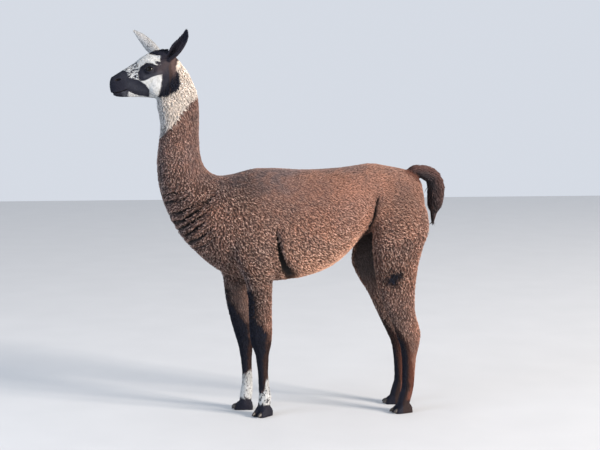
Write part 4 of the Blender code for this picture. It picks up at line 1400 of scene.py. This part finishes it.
def add_coat(name, skin, material):
    """The coat of some parts, in one piece or in a left and a right half."""
    parts, slot, style = COATS[name]
    roots = strewn(skin, part_numbers(*parts), style.spacing)
    sides = [(name, np.ones(len(roots.places), bool))]
    if name in HALVED:
        left = on_animal(roots.places)[:, 1] < 0
        sides = [(f"{name}_left", left), (f"{name}_right", ~left)]
    tufts = grown(roots, style)
    upright = name not in LEVEL
    for piece, kept in sides:
        own = Tufts(*(values[kept] for values in tufts[:-1]), tufts.rings)
        charts = chart_of(Roots(*(values[kept] for values in roots)), upright)
        shown(piece, tuft_mesh(piece, own, charts), material)


def add_lashes(material):
    """A row of lashes on each upper lid."""
    for side, name in ((-1, "lashes_left"), (1, "lashes_right")):
        ahead, along, up = eye_axes(side)
        s = np.linspace(-0.86, 0.80, LASHES) + RANDOM.normal(0, 0.012, LASHES)
        t = 1 - s * s
        direction = ahead + along * (s * SLIT_HALF_LENGTH / EYE_RADIUS)[:, None] * 1.25
        direction = unit(direction + up * (t * SLIT_HALF_HEIGHT / EYE_RADIUS)[:, None] * 1.35)
        roots = eye_centre(side) + direction * (EYE_RADIUS + 0.0014)
        length = RANDOM.uniform(0.014, 0.019, LASHES)[:, None]
        tips = roots + unit(direction + 0.55 * along * s[:, None] - 0.35 * up) * length
        middles = roots + unit(direction + 0.3 * up) * length * 0.5
        normals = np.repeat(up[None], LASHES, axis=0)
        lines = (line + ORIGIN for line in (roots, middles, tips))
        widths, part = np.full(LASHES, LASH_WIDTH), np.full(LASHES, PARTS.index("head"))
        tufts = Tufts(*lines, widths, normals, part, RANDOM.random(LASHES), PLUME.rings)
        charts = np.column_stack([np.linspace(0.02, 0.98, LASHES), np.full(LASHES, 0.5)])
        shown(name, tuft_mesh(name, tufts, charts), material)


def add_eye(name, side, material):
    """An eyeball with a swollen cornea, turned the way the eye looks."""
    ahead, along, up = eye_axes(side)
    bm = bmesh.new()
    bmesh.ops.create_uvsphere(bm, u_segments=64, v_segments=40, radius=EYE_RADIUS)
    mesh = mesh_of(bm, name)
    places = arrays_of(mesh).places
    across, upwards, facing = unit(places).T
    places = places * (1 + CORNEA * smoothstep(facing, 0.70, 1.0))[:, None]
    turned = places[:, :1] * along + places[:, 1:2] * up + places[:, 2:] * ahead
    move_to(mesh, turned + eye_centre(side) + ORIGIN)
    if np.linalg.det(np.array([along, up, ahead])) < 0:
        mesh.flip_normals()
    mesh.shade_smooth()
    add_attribute(mesh, "across", across)
    add_attribute(mesh, "upwards", upwards)
    shown(name.replace("eye", "eyeball"), mesh, material, [name])


def add_nail(name, material):
    """A smooth horn nail in place of the faceted solid."""
    levels = {"levels": 2, "render_levels": 2}
    mesh = with_modifier(mesh_of(welded(name), name), "SUBSURF", levels)
    mesh.name = f"{name}_horn"
    mesh.shade_smooth()
    shown(f"{name}_horn", mesh, material, [name])


def add_skin(material):
    """Shows the skin, and returns it with the number of the part that each vertex belongs to."""
    flesh = Flesh()
    mesh = make_skin(flesh)
    surface = arrays_of(mesh)
    part = flesh.owners_of(surface.places)
    for key, values in markings(on_animal(surface.places), surface.normals, part).items():
        add_attribute(mesh, key, values)
    shown("skin", mesh, material, PARTS)
    return Skin(surface, part, flesh)


# The studio.


def add_area_light(name, place, size, power, colour):
    """A square light that faces the middle of the animal."""
    data = bpy.data.lights.new(name, "AREA")
    data.size = size
    data.energy = power
    data.color = colour
    light = linked(name, data)
    light.location = place
    way = np.array(LIT_PLACE) - place
    tilt = math.atan2(math.hypot(way[0], way[1]), -way[2])
    light.rotation_euler = (tilt, 0, math.atan2(way[1], way[0]) - math.pi / 2)


def set_studio():
    world = bpy.data.worlds.new("studio")
    world.use_nodes = True
    background = world.node_tree.nodes["Background"]
    background.inputs["Color"].default_value = SKY
    background.inputs["Strength"].default_value = SKY_STRENGTH
    bpy.context.scene.world = world
    for name, settings in LIGHTS.items():
        add_area_light(name, *settings)
    bm = bmesh.new()
    bmesh.ops.create_grid(bm, x_segments=1, y_segments=1, size=FLOOR_SIZE)
    mesh = mesh_of(bm, "floor")
    mesh.materials.append(floor_material())
    linked("floor", mesh)


def set_camera():
    data = bpy.data.cameras.new("camera")
    data.sensor_width = SENSOR_WIDTH
    data.lens = LENS
    camera = linked("camera", data)
    camera.location = CAMERA_PLACE
    camera.rotation_euler = (math.radians(CAMERA_PITCH), 0, math.radians(CAMERA_YAW))
    bpy.context.scene.camera = camera
    bpy.context.scene.view_settings.view_transform = "Standard"


# In the frame, the animal's own coordinates start here.
EYE_BOX = np.array([list(corner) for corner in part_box("eye_left")])
ORIGIN = EYE_BOX.mean(axis=0) - EYE
ORIGIN[2] = 0

body_skin = add_skin(skin_material())
coat = coat_material()
for coat_name in COATS:
    add_coat(coat_name, body_skin, coat)
add_forelock(body_skin, coat)
add_lashes(coat)
eye_finish, horn_finish = eye_material(), horn_material()
add_eye("eye_left", -1, eye_finish)
add_eye("eye_right", 1, eye_finish)
for nail_name in NAILS:
    add_nail(nail_name, horn_finish)
set_studio()
set_camera()
